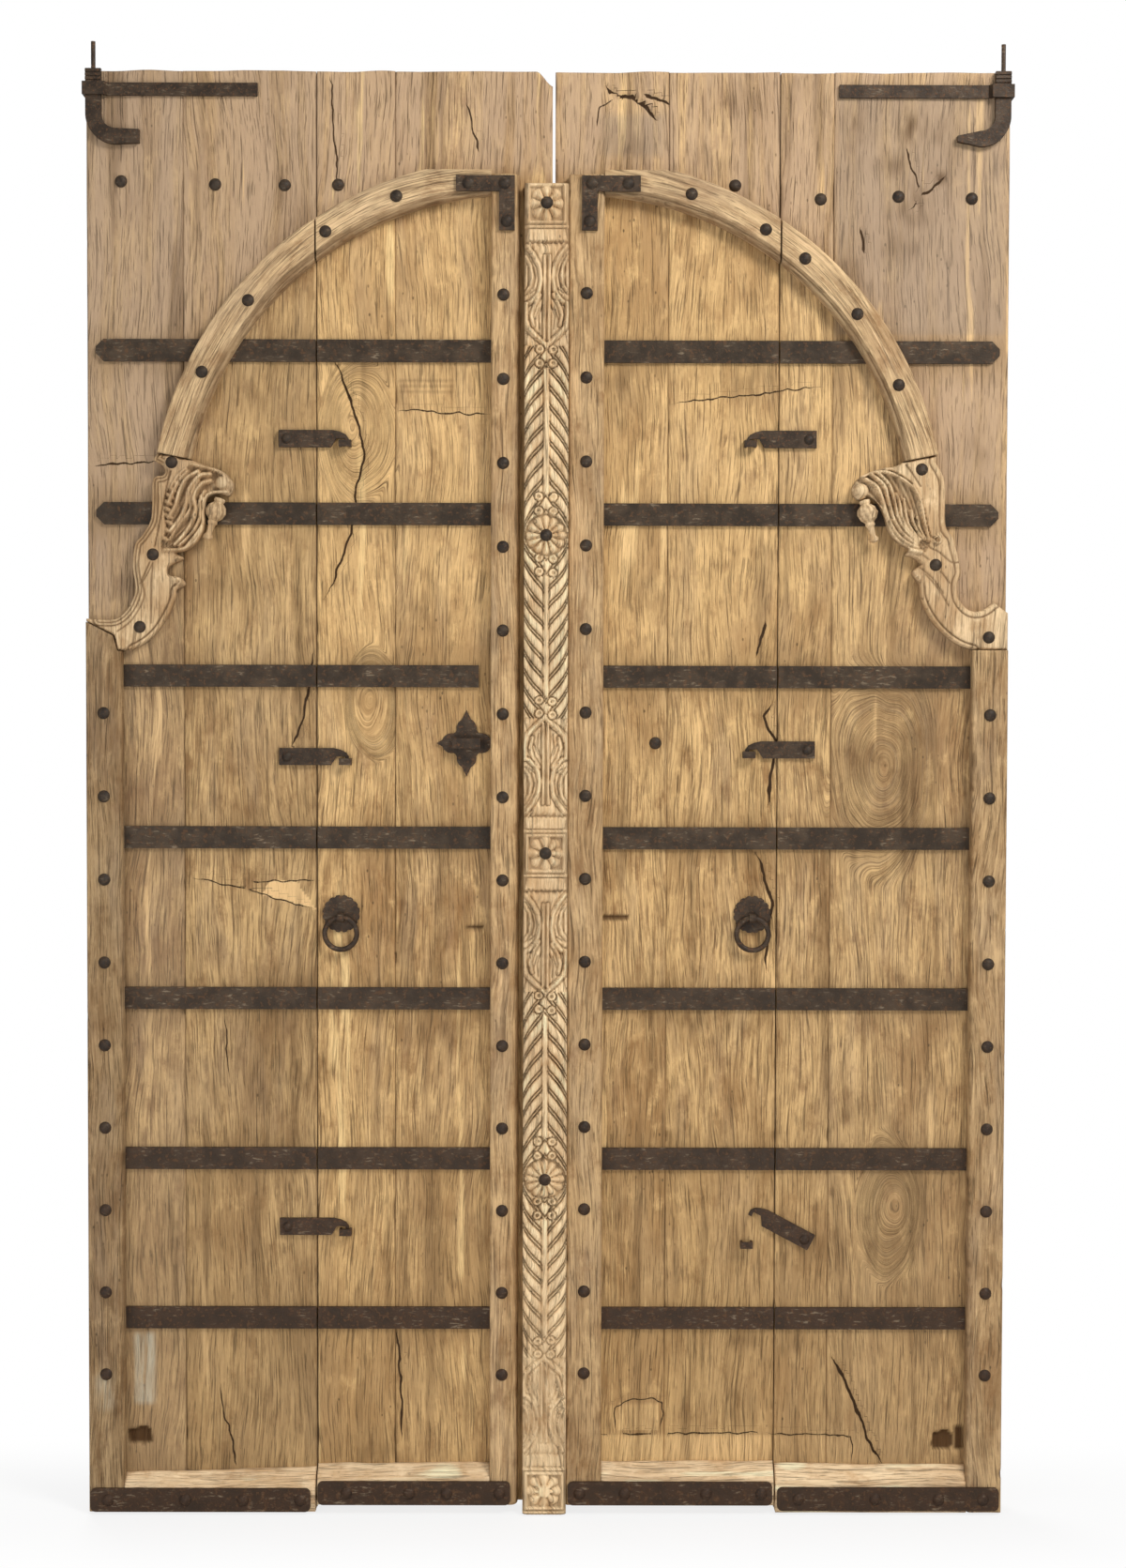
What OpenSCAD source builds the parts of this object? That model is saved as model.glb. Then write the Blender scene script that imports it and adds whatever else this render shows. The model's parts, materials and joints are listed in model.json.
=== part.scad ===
// Pair of old plank door leaves with an applied arch frame.
// Each leaf is sawn upright into an outer and an inner panel that fold on hinges at the back.
// Hooks across the sawn joints hold the panels flat, and a carved cover strip hides the meeting line.
// X runs to the right, Z runs up, and the front of the door faces -Y.

/* [Leaves] */
// Width over both leaves at the planks
pair_w = 1660; // [1656:1:1664]
// Height of the plank tops above the threshold
leaf_top = 2610; // [2602:1:2616]
// Thickness of the planks
plank_t = 38; // [35:1:42]
// Height of the outer panels' bottom edges above the threshold
outer_bottom = 4; // [3:0.5:6]
// Height of the inner panels' bottom edges above the threshold
inner_bottom = 17; // [14:1:20]
// Width of the outer panels, up to the middle of the fold joint
fold_in = 413; // [411:0.5:415]
// Width of each fold joint
fold_gap = 3; // [2.5:0.1:4]
// Position of the meeting line between the leaves
meet_x = 10; // [9:0.5:11]
// Width of the meeting gap
meet_gap = 5; // [4.5:0.1:6]
// Worn edge of each plank
plank_ease = 2.5; // [1:0.5:4]
// Width of the left leaf's outermost plank
left_edge_plank = 173; // [168:1:178]
// Width of the left leaf's plank beside the fold joint
left_fold_plank = 142; // [138:1:146]
// Width of the right leaf's plank inside the fold joint
right_fold_plank = 200; // [196:1:204]
// Width of the right leaf's plank outside the fold joint
right_edge_plank = 97; // [94:1:100]

/* [Frame on the face] */
// How far stiles, arch and sills stand out from the planks
stile_h = 28; // [26:1:30]
// Width of the outer stiles
outer_stile_w = 64; // [60:1:66]
// Width of the left meeting stile
left_stile_w = 51; // [49:1:52]
// Width of the right meeting stile
right_stile_w = 64; // [62:1:66]
// Width of the rounding on the left meeting stile, beside the cover strip
round_w = 13; // [12:0.5:15]
// Depth of that rounding
round_h = 22; // [20:0.5:24]
// Width of the moulded edge beside the stiles and around the arch
bead_w = 7; // [5:0.5:8]
// Drop of the moulded edge
bead_drop = 7; // [4:0.5:9]
// Distance of the arch from the leaf's outer edge
arch_in = 116; // [114:1:118]
// Width of the arch moulding
arch_w = 62; // [60:1:64]
// Distance of the arch's full circle below the leaf's top
arch_down = 161; // [158:1:164]
// Height planed off the crown of the arch
arch_flat = 21; // [19:1:23]
// Height of the sills above the panels' bottom edges, at the planks
sill_h = 86; // [80:1:92]
// Height of the sills' front
sill_front = 46; // [44:1:48]

/* [Carving] */
// Width of the carved cover strip
cover_w = 79; // [76:1:80]
// Thickness of the cover strip below its carving
cover_h = 36; // [34:1:38]
// Height of the low carving
low_relief = 4; // [3:0.5:5]
// Height of the raised carving
high_relief = 8; // [7:0.5:9]
// Length of each rosette block
block_l = 74; // [70:1:76]
// Distance from a rosette block down to the round flower
flower_l = 590; // [584:1:594]
// Length of the carved brackets
bracket_l = 356; // [354:1:358]
// Thickness of the carved brackets below their relief
bracket_h = 24; // [22:1:26]

/* [Iron straps] */
// Height of the straps
strap_w = 40; // [36:1:42]
// Thickness of the straps
strap_t = 5; // [4:0.5:6]
// Distance of the top strap's middle below the leaf's top
strap_down = 501; // [498:1:504]
// Height of the lowest strap's middle
strap_low = 354; // [350:1:358]
// Length of the pointed strap ends
strap_tip = 14; // [10:1:18]
// Height of the irons along the bottom
band_w = 43; // [42:0.5:44]

/* [Pivots] */
// Distance of the pivot line from the outer edge
pivot_in = 14; // [13:0.5:15]
// Distance of the pivot line in front of the planks
pivot_out = 5; // [4.5:0.5:5.5]
// Radius of the pins on top of the leaves
top_pin_r = 4; // [3.5:0.25:4.5]
// Height of the top pins above the leaves
top_pin_l = 48; // [40:1:56]
// Radius of the pins in the threshold
heel_pin_r = 6; // [5:0.5:6.5]
// Running clearance of every pin in its hole
pin_fit = 0.05; // [0.03:0.01:0.1]

/* [Fastenings] */
// Radius of the domed nail heads
nail_r = 11; // [9:0.5:12]
// Height of the domed nail heads
nail_dome = 6; // [4:0.5:7]
// Distance between the nails along the stiles
nail_pitch = 150; // [147:1:151]
// Height of the lowest nails on the stiles
nail_low = 256; // [250:1:262]
// Thickness of the wooden ledges on the back
ledge_t = 30; // [26:1:32]
// Height of the ledges
ledge_w = 90; // [80:1:100]
// Radius of the fold hinges' knuckles
knuckle_r = 6; // [5.5:0.25:6.5]

/* [Hooks, rings and lock] */
// Distance from a hook's rivet to its beak
hook_reach = 108; // [106:1:110]
// Thickness of the hooks
hook_t = 5; // [4:0.5:6]
// Lift of the unhooked lower right hook, in degrees
hook_lift = 28; // [20:1:40]
// Distance of the ring pulls below the middle between their straps
ring_drop = 27.25; // [24:0.25:30]
// Radius of the ring pulls, to the middle of the bar
ring_r = 29; // [27:1:31]
// Radius of the ring pulls' bar
ring_bar_r = 4.7; // [4.2:0.1:5]
// Radius of the plates behind the rings
ring_plate_r = 34; // [31:1:37]
// Distance of the lock plate above the middle between its straps
lock_rise = 25.25; // [22:0.25:28]
// Half the height of the lock plate
lock_r = 60; // [56:1:62]
// Distance the lock staple stands out from the planks
lock_out = 22; // [19:1:26]

/* [Hidden] */
$fn = 48;
half_w = pair_w / 2;
bore_fit = 0.1;
seat = 0.3;
nail_shank_r = 3.5;
nail_len = 19;
front_reach = cover_h + high_relief + nail_dome;
face_y = (front_reach - plank_t - ledge_t) / 2;
seam_x = half_w - fold_in;
outer_x = seam_x + fold_gap / 2;
inner_x = seam_x - fold_gap / 2;
left_meet = meet_x - meet_gap / 2;
right_meet = meet_x + meet_gap / 2;
cover_x = 37;
cover_mid = cover_x - cover_w / 2;
left_stile_x = 102;
right_stile_x = cover_x + right_stile_w;
arch_x = 58;
arch_r = half_w - arch_in - arch_w - arch_x;
arch_z = leaf_top - arch_down - arch_w - arch_r;
arch_top = leaf_top - arch_down - arch_flat;
foot_x = arch_x + arch_r;
edge_x = arch_in + arch_w;
stile_step = 8;
stile_top = arch_top - stile_step;
bracket_k = bracket_l / 356;
bracket_top = 118.5;
arch_end = asin(bracket_top * bracket_k / arch_r);
stile_drop = 220;
outer_stile_top = arch_z - stile_drop * bracket_k;
strap_pitch = (leaf_top - strap_down - strap_low) / 6;
strap_in = 16;
pivot_x = half_w - pivot_in;
pivot_arm = 28;
pivot_drop = 80;
pivot_bend = 26;
pivot_tail = 42;
pivot_strap_l = 308;
pivot_strap_w = 23;
pivot_strap_down = 47;
heel_l = 58;
heel_bush_r = 9;
band_t = 5;
band_round = 10;
hook_off = 54;
hook_x = seam_x + hook_off;
hook_k = hook_reach / 108;
hook_rest = 1;
rivet_r = 4;
rivet_len = 26;
left_hook_z = [middle_of(0) - 12, middle_of(2), middle_of(5) + 21];
right_hook_z = [middle_of(0) - 11, middle_of(2) + 14, middle_of(5) - 1];
hook_legs = [hook_reach - 11 * hook_k, hook_reach + 7 * hook_k];
staple_bar = 4;
staple_out = hook_rest + hook_t + 7.5 + staple_bar;
staple_top = -2.5;
staple_h = 12;
staple_len = 19;
hinge_half = 50;
hinge_z = [leaf_top - 360, leaf_top - 1220, 480];
hinge_pin_r = 3;
hinge_in = 7;
hinge_plate_w = 26;
hinge_plate_t = 3;
hinge_tab = 17;
fold_y = face_y + plank_t + knuckle_r + 0.5;
ledge_in = 28;
ledge_slope = 32;
ledge_side = 12;
ledge_meet = 45;
ledge_low = 150;
ledge_down = 214;
ring_off = 44;
ring_z = middle_of(3) - ring_drop;
ring_x = seam_x - ring_off;
ring_out = 13;
eye_r = ring_bar_r + 0.9;
eye_bar = 3;
eye_w = 12;
eye_h = 6;
ring_plate_t = 4;
ring_plate_up = 6;
lock_off = 44;
lock_z = middle_of(2) + lock_rise;
lock_x = -left_stile_x - lock_off;
lock_k = lock_r / 60;
lock_plate_t = 3.5;
lock_half = 23.5;
lock_bar = 4;
lock_h = 18;
corner_in = 60;
corner_l = 105;
corner_h = 97;
corner_w = 28;
corner_down = 11;
cover_foot = 46;
cover_end = 2;
cover_top = arch_top - 25;
block_z = cover_top - block_l / 2;
unit_l = (block_z - cover_foot) / 2;
cover_k = cover_w / 79;
lip_w = 4;
lip_relief = 1.5;

// Points of a smooth line through the given points
function blend(a, b, c, d, t) = 0.5 * (2 * b + (c - a) * t + (2 * a - 5 * b + 4 * c - d) * t * t
    + (3 * b - a - 3 * c + d) * t * t * t);
function spline(p, n = 3) = concat([for (i = [0:len(p) - 2]) for (k = [0:n - 1])
    blend(p[max(i - 1, 0)], p[i], p[i + 1], p[min(i + 2, len(p) - 1)], k / n)], [p[len(p) - 1]]);
// Outline of a rib that follows a line and narrows to both ends
function normal(p, i) = let (d = p[min(i + 1, len(p) - 1)] - p[max(i - 1, 0)]) [-d[1], d[0]] / norm(d);
function swell(i, n) = 0.35 + 0.65 * sin(180 * i / (n - 1));
function rib(p, w) = concat(
    [for (i = [0:len(p) - 1]) p[i] + normal(p, i) * w * swell(i, len(p)) / 2],
    [for (i = [len(p) - 1:-1:0]) p[i] - normal(p, i) * w * swell(i, len(p)) / 2]);
function strap_height(i) = leaf_top - strap_down - i * strap_pitch;
function middle_of(i) = (strap_height(i) + strap_height(i + 1)) / 2;

// Moves a front view drawing onto the planks, with its height towards the viewer
module face(at = 0) {
    translate([0, face_y - at, 0]) rotate([90, 0, 0]) children();
}

// Moves a plan drawing to the planks' face and raises it
module plan(z0, z1) {
    translate([0, face_y, z0]) linear_extrude(z1 - z0) children();
}

// Domed nail with its shank
module nail(x, z, at, r = nail_r, dome = nail_dome, shank = nail_shank_r, len = nail_len) {
    ball = (r * r + dome * dome) / (2 * dome);
    face(at) translate([x, z, 0]) {
        intersection() {
            translate([0, 0, dome - ball]) sphere(ball);
            translate([-r - 1, -r - 1, 0]) cube([2 * r + 2, 2 * r + 2, dome + 1]);
        }
        translate([0, 0, -len]) cylinder(h = len + 1, r = shank);
    }
}

module nail_hole(x, z, at, shank = nail_shank_r, len = nail_len) {
    face(at) translate([x, z, -len - 1]) cylinder(h = len + 3, r = shank + bore_fit);
}

// Nail positions
outer_count = floor((outer_stile_top - nail_low - 115) / nail_pitch);
inner_count = floor((stile_top - nail_low - 205) / nail_pitch);
left_band_z = outer_bottom + 1;
right_band_z = outer_bottom + 4;
inner_band_z = inner_bottom + 1;
function outer_stile_nails(s) = [for (i = [0:outer_count])
    [s * (half_w - outer_stile_w / 2), nail_low + i * nail_pitch]];
function left_stile_nails() = [for (i = [0:inner_count])
    [2 * nail_r - left_stile_x, nail_low + i * nail_pitch]];
function right_stile_nails() = [for (i = [0:inner_count])
    [cover_x + right_stile_w / 2, nail_low + 3 + i * nail_pitch]];
function arch_nail(s, a) = [s * arch_x, arch_z] + (arch_r + arch_w / 2) * [s * cos(a), sin(a)];
function bracket_nails(s, p) = [for (q = p) [s * foot_x, arch_z] + q * bracket_k];
function below_top(p) = [for (q = p) [q[0], leaf_top - q[1]]];
function on_band(p, z) = [for (x = p) [x, z + band_w / 2]];
left_lower_arch_nails = [for (a = [26, 40]) arch_nail(-1, a)];
left_upper_arch_nails = [for (a = [57, 70]) arch_nail(-1, a)];
right_lower_arch_nails = [for (a = [24, 37.5, 50]) arch_nail(1, a)];
right_upper_arch_nails = [for (a = [58, 71.5]) arch_nail(1, a)];
left_bracket_nails = bracket_nails(-1, [[-23, 113], [-57, -52], [-81, -182]]);
right_bracket_nails = bracket_nails(1, [[20, 104], [46, -67], [143, -197]]);
left_outer_top_nails = below_top([[62 - half_w, 199], [231 - half_w, 204], [-seam_x - 57, 205]]);
left_inner_top_nails = below_top([[39 - seam_x, 204]]);
right_inner_top_nails = concat(below_top([[seam_x - 81, 203]]), [[seam_x - 221, lock_z + 1]]);
right_outer_top_nails = below_top([[seam_x + 73, 227], [half_w - 200, 222], [half_w - 68, 225]]);
cover_nails = [[cover_mid, block_z], [cover_mid, block_z - flower_l], [cover_mid, block_z - unit_l],
    [cover_mid, block_z - unit_l - flower_l]];
left_outer_band_nails = on_band([35 - half_w, 175 - half_w, 280 - half_w, -seam_x - 29], left_band_z);
left_inner_band_nails = on_band([55 - seam_x, 169 - seam_x, 237 - seam_x, 18 - left_stile_x], inner_band_z);
right_inner_band_nails = on_band([cover_x + 25, cover_x + 107, seam_x - 125, seam_x - 25], inner_band_z);
right_outer_band_nails = on_band([seam_x + 43, seam_x + 183, half_w - 115, half_w - 34], right_band_z);
function corner_nails(s) = [for (p = [[corner_l - 22, corner_w / 2], [corner_w / 2 + 4, corner_w / 2],
    [corner_w / 2, corner_h - 16]]) [s * (corner_in + p[0]), arch_top - corner_down - p[1]]];
left_corner_nails = corner_nails(-1);
right_corner_nails = corner_nails(1);
left_hooks = [for (z = left_hook_z) [-hook_x, z]];
right_hooks = [for (z = right_hook_z) [hook_x, z]];

// Nail groups of each panel
module nails_at(points, at) {
    for (p = points) nail(p[0], p[1], at);
}

module holes_at(points, at) {
    for (p = points) nail_hole(p[0], p[1], at);
}

module hook_rivets(points) {
    for (p = points)
        nail(p[0], p[1], hook_rest + hook_t + seat, nail_r - 2, nail_dome - 1, rivet_r, rivet_len);
}

module left_outer_nails() {
    color("dimgray") {
        nails_at(outer_stile_nails(-1), stile_h);
        nails_at(left_lower_arch_nails, stile_h);
        nails_at(left_bracket_nails, bracket_h);
        nails_at(left_outer_top_nails, 0);
        nails_at(left_outer_band_nails, stile_h + band_t);
        hook_rivets(left_hooks);
    }
}

module left_inner_nails() {
    color("dimgray") {
        nails_at(left_stile_nails(), stile_h);
        nails_at(left_upper_arch_nails, stile_h);
        nails_at(left_inner_top_nails, 0);
        nails_at(left_corner_nails, stile_h + strap_t);
        nails_at(left_inner_band_nails, stile_h + band_t);
    }
}

module right_inner_nails() {
    color("dimgray") {
        nails_at(right_stile_nails(), stile_h);
        nails_at(right_upper_arch_nails, stile_h);
        nails_at(right_inner_top_nails, 0);
        nails_at(right_corner_nails, stile_h + strap_t);
        nails_at(right_inner_band_nails, stile_h + band_t);
        nails_at(cover_nails, cover_h + high_relief);
    }
}

module right_outer_nails() {
    color("dimgray") {
        nails_at(outer_stile_nails(1), stile_h);
        nails_at(right_lower_arch_nails, stile_h);
        nails_at(right_bracket_nails, bracket_h);
        nails_at(right_outer_top_nails, 0);
        nails_at(right_outer_band_nails, stile_h + band_t);
        hook_rivets(right_hooks);
    }
}

// Pins that stay in the threshold under both outer corners
module heel_pins() {
    color("dimgray") for (s = [-1, 1]) translate([s * pivot_x, face_y - pivot_out, 0])
        cylinder(h = heel_l, r = heel_pin_r);
}

module heel_bush_space(s, r) {
    translate([s * pivot_x, face_y - pivot_out, 0]) cylinder(h = heel_l + 8, r = r);
}

// Planks
module plank(x0, x1, z0) {
    plan(z0, leaf_top) polygon([[x0, plank_t], [x1, plank_t], [x1, plank_ease], [x1 - plank_ease, 0],
        [x0 + plank_ease, 0], [x0, plank_ease]]);
}

module rivet_holes(points) {
    for (p = points) nail_hole(p[0], p[1], hook_rest + hook_t + seat, rivet_r, rivet_len);
}

module slot(x, z, w, h, depth) {
    face(-depth) translate([x - (w + bore_fit) / 2, z - (h + bore_fit) / 2, 0])
        cube([w + bore_fit, h + bore_fit, depth + 2]);
}

module staple_slots(s, heights) {
    for (z = heights) for (x = hook_legs)
        slot(s * (hook_x - x), z + staple_top - staple_h / 2, staple_bar, staple_h, staple_len + 1);
    slot(s * ring_x, ring_z + ring_r, eye_w, eye_h, staple_len + 1);
}

module left_plank_a() {
    color("tan") difference() {
        plank(-half_w, left_edge_plank - half_w, outer_bottom);
        heel_bush_space(-1, heel_bush_r + bore_fit);
        holes_at(left_outer_top_nails, 0);
    }
}

module left_plank_b() {
    color("tan") difference() {
        plank(left_edge_plank - half_w, -outer_x, outer_bottom);
        holes_at(left_outer_top_nails, 0);
        rivet_holes(left_hooks);
    }
}

module left_plank_c() {
    color("tan") difference() {
        plank(-inner_x, left_fold_plank - seam_x, inner_bottom);
        holes_at(left_inner_top_nails, 0);
        staple_slots(-1, left_hook_z);
    }
}

module left_plank_d() {
    color("tan") difference() {
        plank(left_fold_plank - seam_x, left_meet, inner_bottom);
        for (x = [-lock_half, lock_half]) slot(lock_x + x, lock_z, lock_bar, lock_h, staple_len - 1);
    }
}

module right_plank_a() {
    color("tan") difference() {
        plank(right_meet, seam_x - right_fold_plank, inner_bottom);
        holes_at(right_inner_top_nails, 0);
    }
}

module right_plank_b() {
    color("tan") difference() {
        plank(seam_x - right_fold_plank, inner_x, inner_bottom);
        holes_at(right_inner_top_nails, 0);
        staple_slots(1, right_hook_z);
    }
}

module right_plank_c() {
    color("tan") difference() {
        plank(outer_x, seam_x + right_edge_plank, outer_bottom);
        holes_at(right_outer_top_nails, 0);
        rivet_holes(right_hooks);
    }
}

module right_plank_d() {
    color("tan") difference() {
        plank(seam_x + right_edge_plank, half_w, outer_bottom);
        heel_bush_space(1, heel_bush_r + bore_fit);
        holes_at(right_outer_top_nails, 0);
    }
}

// Straps across the planks, with pointed outer ends on the two upper rows
module strap_2d(s, x0, x1, i, point) {
    z = strap_height(i);
    tip = point ? strap_tip : 0;
    polygon([[s * x0, z - strap_w / 2], [s * (x1 - tip), z - strap_w / 2], [s * x1, z - strap_w / 2 + tip],
        [s * x1, z + strap_w / 2 - tip], [s * (x1 - tip), z + strap_w / 2], [s * x0, z + strap_w / 2]]);
}

function strap_end(i) = half_w - (i < 2 ? strap_in : outer_stile_w);

module strap_space(s) {
    for (i = [0:6]) face(-1) linear_extrude(strap_t + seat + 1)
        translate([s > 0 ? outer_x : -half_w, strap_height(i) - strap_w / 2 - seat])
            square([half_w - outer_x, strap_w + 2 * seat]);
}

// Flat iron along the bottom of a panel
module band(x0, x1, z0) {
    face(stile_h) linear_extrude(band_t) {
        translate([x0 + band_round, z0]) square([x1 - x0 - 2 * band_round, band_w]);
        translate([x0, z0 + band_round]) square([x1 - x0, band_w - 2 * band_round]);
        for (x = [x0 + band_round, x1 - band_round]) for (z = [z0 + band_round, z0 + band_w - band_round])
            translate([x, z]) circle(band_round);
    }
}

module heel_bush(s) {
    difference() {
        translate([s * pivot_x, face_y - pivot_out, outer_bottom])
            cylinder(h = heel_l + 7 - outer_bottom, r = heel_bush_r);
        translate([s * pivot_x, face_y - pivot_out, -1]) cylinder(h = heel_l + 1, r = heel_pin_r + pin_fit);
    }
}

module left_outer_straps() {
    color("dimgray") {
        for (i = [0:6]) face() linear_extrude(strap_t) strap_2d(-1, outer_x, strap_end(i), i, i < 2);
        difference() {
            band(3 - half_w, -outer_x - 9, left_band_z);
            holes_at(left_outer_band_nails, stile_h + band_t);
        }
        heel_bush(-1);
    }
}

module left_inner_straps() {
    color("dimgray") {
        for (i = [0:6]) face() linear_extrude(strap_t)
            strap_2d(-1, left_stile_x + (i == 2 ? 22 : 0), inner_x, i, false);
        difference() {
            band(1 - inner_x, left_stile_w - left_stile_x - round_w, inner_band_z);
            holes_at(left_inner_band_nails, stile_h + band_t);
        }
    }
}

module right_inner_straps() {
    color("dimgray") {
        for (i = [0:6]) face() linear_extrude(strap_t) strap_2d(1, right_stile_x, inner_x, i, false);
        difference() {
            band(cover_x + 3, inner_x - 3, inner_band_z);
            holes_at(right_inner_band_nails, stile_h + band_t);
        }
    }
}

module right_outer_straps() {
    color("dimgray") {
        for (i = [0:6]) face() linear_extrude(strap_t) strap_2d(1, outer_x, strap_end(i), i, i < 2);
        difference() {
            band(outer_x + 3, half_w - 5, right_band_z);
            holes_at(right_outer_band_nails, stile_h + band_t);
        }
        heel_bush(1);
    }
}

// Stiles
module bead_cut(x, z0, z1) {
    face(stile_h - bead_drop) translate([x, z0, 0]) cube([bead_w, z1 - z0, bead_drop + 1]);
}

module left_outer_stile() {
    edge = outer_stile_w - half_w;
    cut = [for (p = [[-122.6, -225], [-128.6, -198]]) p * bracket_k - [foot_x, -arch_z]];
    color("burlywood") difference() {
        face() linear_extrude(stile_h) polygon([[-half_w, outer_bottom], [edge, outer_bottom],
            [edge, cut[0][1]], cut[0], cut[1], [-half_w, arch_z - 173 * bracket_k]]);
        bead_cut(edge - bead_w, outer_bottom + sill_h, arch_z);
        heel_bush_space(-1, heel_bush_r + bore_fit);
        holes_at(outer_stile_nails(-1), stile_h);
        holes_at(left_outer_band_nails, stile_h + band_t);
    }
}

module right_outer_stile() {
    edge = half_w - outer_stile_w;
    color("burlywood") difference() {
        face() translate([edge, outer_bottom, 0])
            cube([outer_stile_w, outer_stile_top - outer_bottom, stile_h]);
        bead_cut(edge, outer_bottom + sill_h, arch_z);
        heel_bush_space(1, heel_bush_r + bore_fit);
        holes_at(outer_stile_nails(1), stile_h);
        holes_at(right_outer_band_nails, stile_h + band_t);
    }
}

module meeting_stile(x0, x1, ease, w, h) {
    plan(inner_bottom, stile_top) polygon(concat([[x0, 0], [x1, 0]],
        [for (a = [0:22.5:90]) [x1 - w + w * cos(a), h - stile_h - h * sin(a)]],
        [[x0 + ease, -stile_h], [x0, ease - stile_h]]));
}

module left_inner_stile() {
    color("burlywood") difference() {
        meeting_stile(-left_stile_x, left_stile_w - left_stile_x, 5, round_w, round_h);
        holes_at(left_stile_nails(), stile_h);
        holes_at(left_corner_nails, stile_h + strap_t);
        holes_at(left_inner_band_nails, stile_h + band_t);
    }
}

module right_inner_stile() {
    color("burlywood") difference() {
        meeting_stile(cover_x, right_stile_x, 3, 5, 5);
        holes_at(right_stile_nails(), stile_h);
        holes_at(right_corner_nails, stile_h + strap_t);
        holes_at(right_inner_band_nails, stile_h + band_t);
    }
}

// Arch moulding in two lengths a leaf, sawn at the fold joint
module arch_ring(r0, r1) {
    difference() {
        circle(r1, $fn = 120);
        circle(r0, $fn = 120);
    }
}

module arch_piece(s) {
    r2 = arch_r + arch_w;
    steps = [[arch_r, r2, stile_h - bead_drop - 3], [arch_r + bead_w, r2, stile_h - bead_drop],
        [arch_r + bead_w, r2 - bead_w, stile_h]];
    for (k = steps) face() linear_extrude(k[2]) intersection() {
        translate([s * arch_x, arch_z]) arch_ring(k[0], k[1]);
        children();
    }
}

module arch_lower_zone(s) {
    x0 = outer_x - arch_x;
    reach = 1.2 * (arch_r + arch_w);
    translate([s * arch_x, arch_z]) polygon([[s * x0, x0 * tan(arch_end)], [s * reach, reach * tan(arch_end)],
        [s * reach, reach], [s * x0, reach]]);
}

module arch_upper_zone(s, x0) {
    low = arch_z + arch_r / 2;
    polygon([[s * x0, low], [s * inner_x, low], [s * inner_x, arch_top], [s * x0, arch_top]]);
}

module left_arch_lower() {
    color("burlywood") difference() {
        arch_piece(-1) arch_lower_zone(-1);
        strap_space(-1);
        holes_at(left_lower_arch_nails, stile_h);
    }
}

module left_arch_upper() {
    color("burlywood") difference() {
        arch_piece(-1) arch_upper_zone(-1, left_stile_x);
        holes_at(left_upper_arch_nails, stile_h);
        holes_at(left_corner_nails, stile_h + strap_t);
    }
}

module right_arch_upper() {
    color("burlywood") difference() {
        arch_piece(1) arch_upper_zone(1, right_stile_x);
        holes_at(right_upper_arch_nails, stile_h);
        holes_at(right_corner_nails, stile_h + strap_t);
    }
}

module right_arch_lower() {
    color("burlywood") difference() {
        arch_piece(1) arch_lower_zone(1);
        strap_space(1);
        holes_at(right_lower_arch_nails, stile_h);
    }
}

// Carved brackets at the feet of the arch, drawn from the foot of the arch's inner edge
right_bracket_inner = [[-12, 117], [-30, 109], [-52, 106], [-76, 98], [-96, 85], [-104, 65],
    [-92, 50], [-72, 55], [-56, 41], [-45, 16], [-37, -8], [-20, -27], [-2, -38], [-7, -49], [6, -53],
    [20, -66], [5, -80], [18, -102], [21, -127], [38, -162], [63, -191], [90, -210], [116, -219]];
right_bracket_outer = [[152, -134], [130, -149], [108, -148], [90, -129], [86, -102], [93, -79],
    [83, -37], [77, -16], [64, 6], [63, 76], [54, 103], [45, 118], [49, 129.5]];
right_bracket_outline = concat(spline(right_bracket_inner * bracket_k, 2),
    [[edge_x, -219.5 * bracket_k], [edge_x, -153 * bracket_k]], spline(right_bracket_outer * bracket_k, 2));
left_bracket_inner = [[-95, -222], [-73, -210], [-49, -188], [-27, -152], [-18, -128], [-16, -115],
    [-1, -105], [-10, -93], [-32, -88], [-29, -72], [-4, -59], [-16, -49], [6, -42], [28, -20], [36, 4],
    [36, 36], [43, 53], [62, 58], [80, 55], [86, 77], [66, 99], [40, 107], [12, 117]];
left_bracket_outer = [[-49, 129.5], [-55, 117], [-38, 106], [-38, 91], [-57, 84], [-59, 41], [-62, 9],
    [-78, -18], [-90, -34], [-94, -74], [-89, -111], [-96, -136], [-108, -155], [-126, -168], [-154, -169]];
left_bracket_outline = concat([[-edge_x, -167 * bracket_k], [-edge_x, -172 * bracket_k],
    [-128, -197] * bracket_k, [-122, -224] * bracket_k], spline(left_bracket_inner * bracket_k, 2),
    spline(left_bracket_outer * bracket_k, 2));
right_fan = [[[12, -36], [-15, -19], [-31, 14], [-42, 41], [-60, 71], [-82, 87]],
    [[17, -33], [-6, -9], [-20, 22], [-28, 54], [-44, 80], [-65, 93]],
    [[22, -30], [4, -3], [-7, 27], [-13, 59], [-26, 83], [-44, 97]],
    [[28, -27], [15, -1], [7, 30], [2, 57], [-8, 80], [-22, 96]],
    [[34, -24], [26, 1], [21, 29], [17, 57], [9, 75], [-1, 89]]];
left_fan = [[[-38, -32], [-12, -27], [12, -9], [23, 19], [20, 45], [12, 63]],
    [[-36, -22], [-12, -14], [6, 4], [12, 25], [4, 45], [-8, 57]],
    [[-38, -12], [-18, -2], [-5, 13], [-5, 31], [-16, 47], [-30, 53]],
    [[-32, 65], [-18, 71], [-4, 81], [7, 94]],
    [[-8, 62], [6, 71], [18, 83], [24, 97]],
    [[12, 65], [28, 77], [44, 91], [62, 95]]];
right_sweep = [[166, -160], [150, -167], [128, -171], [106, -161], [86, -138], [76, -107], [70, -81]];
left_sweep = [[-146, -177], [-120, -181], [-100, -169], [-85, -146], [-80, -117], [-84, -89], [-82, -51]];

module fan_ribs(fan, w) {
    for (p = fan) polygon(rib(spline(p * bracket_k, 3), w * bracket_k));
}

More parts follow.
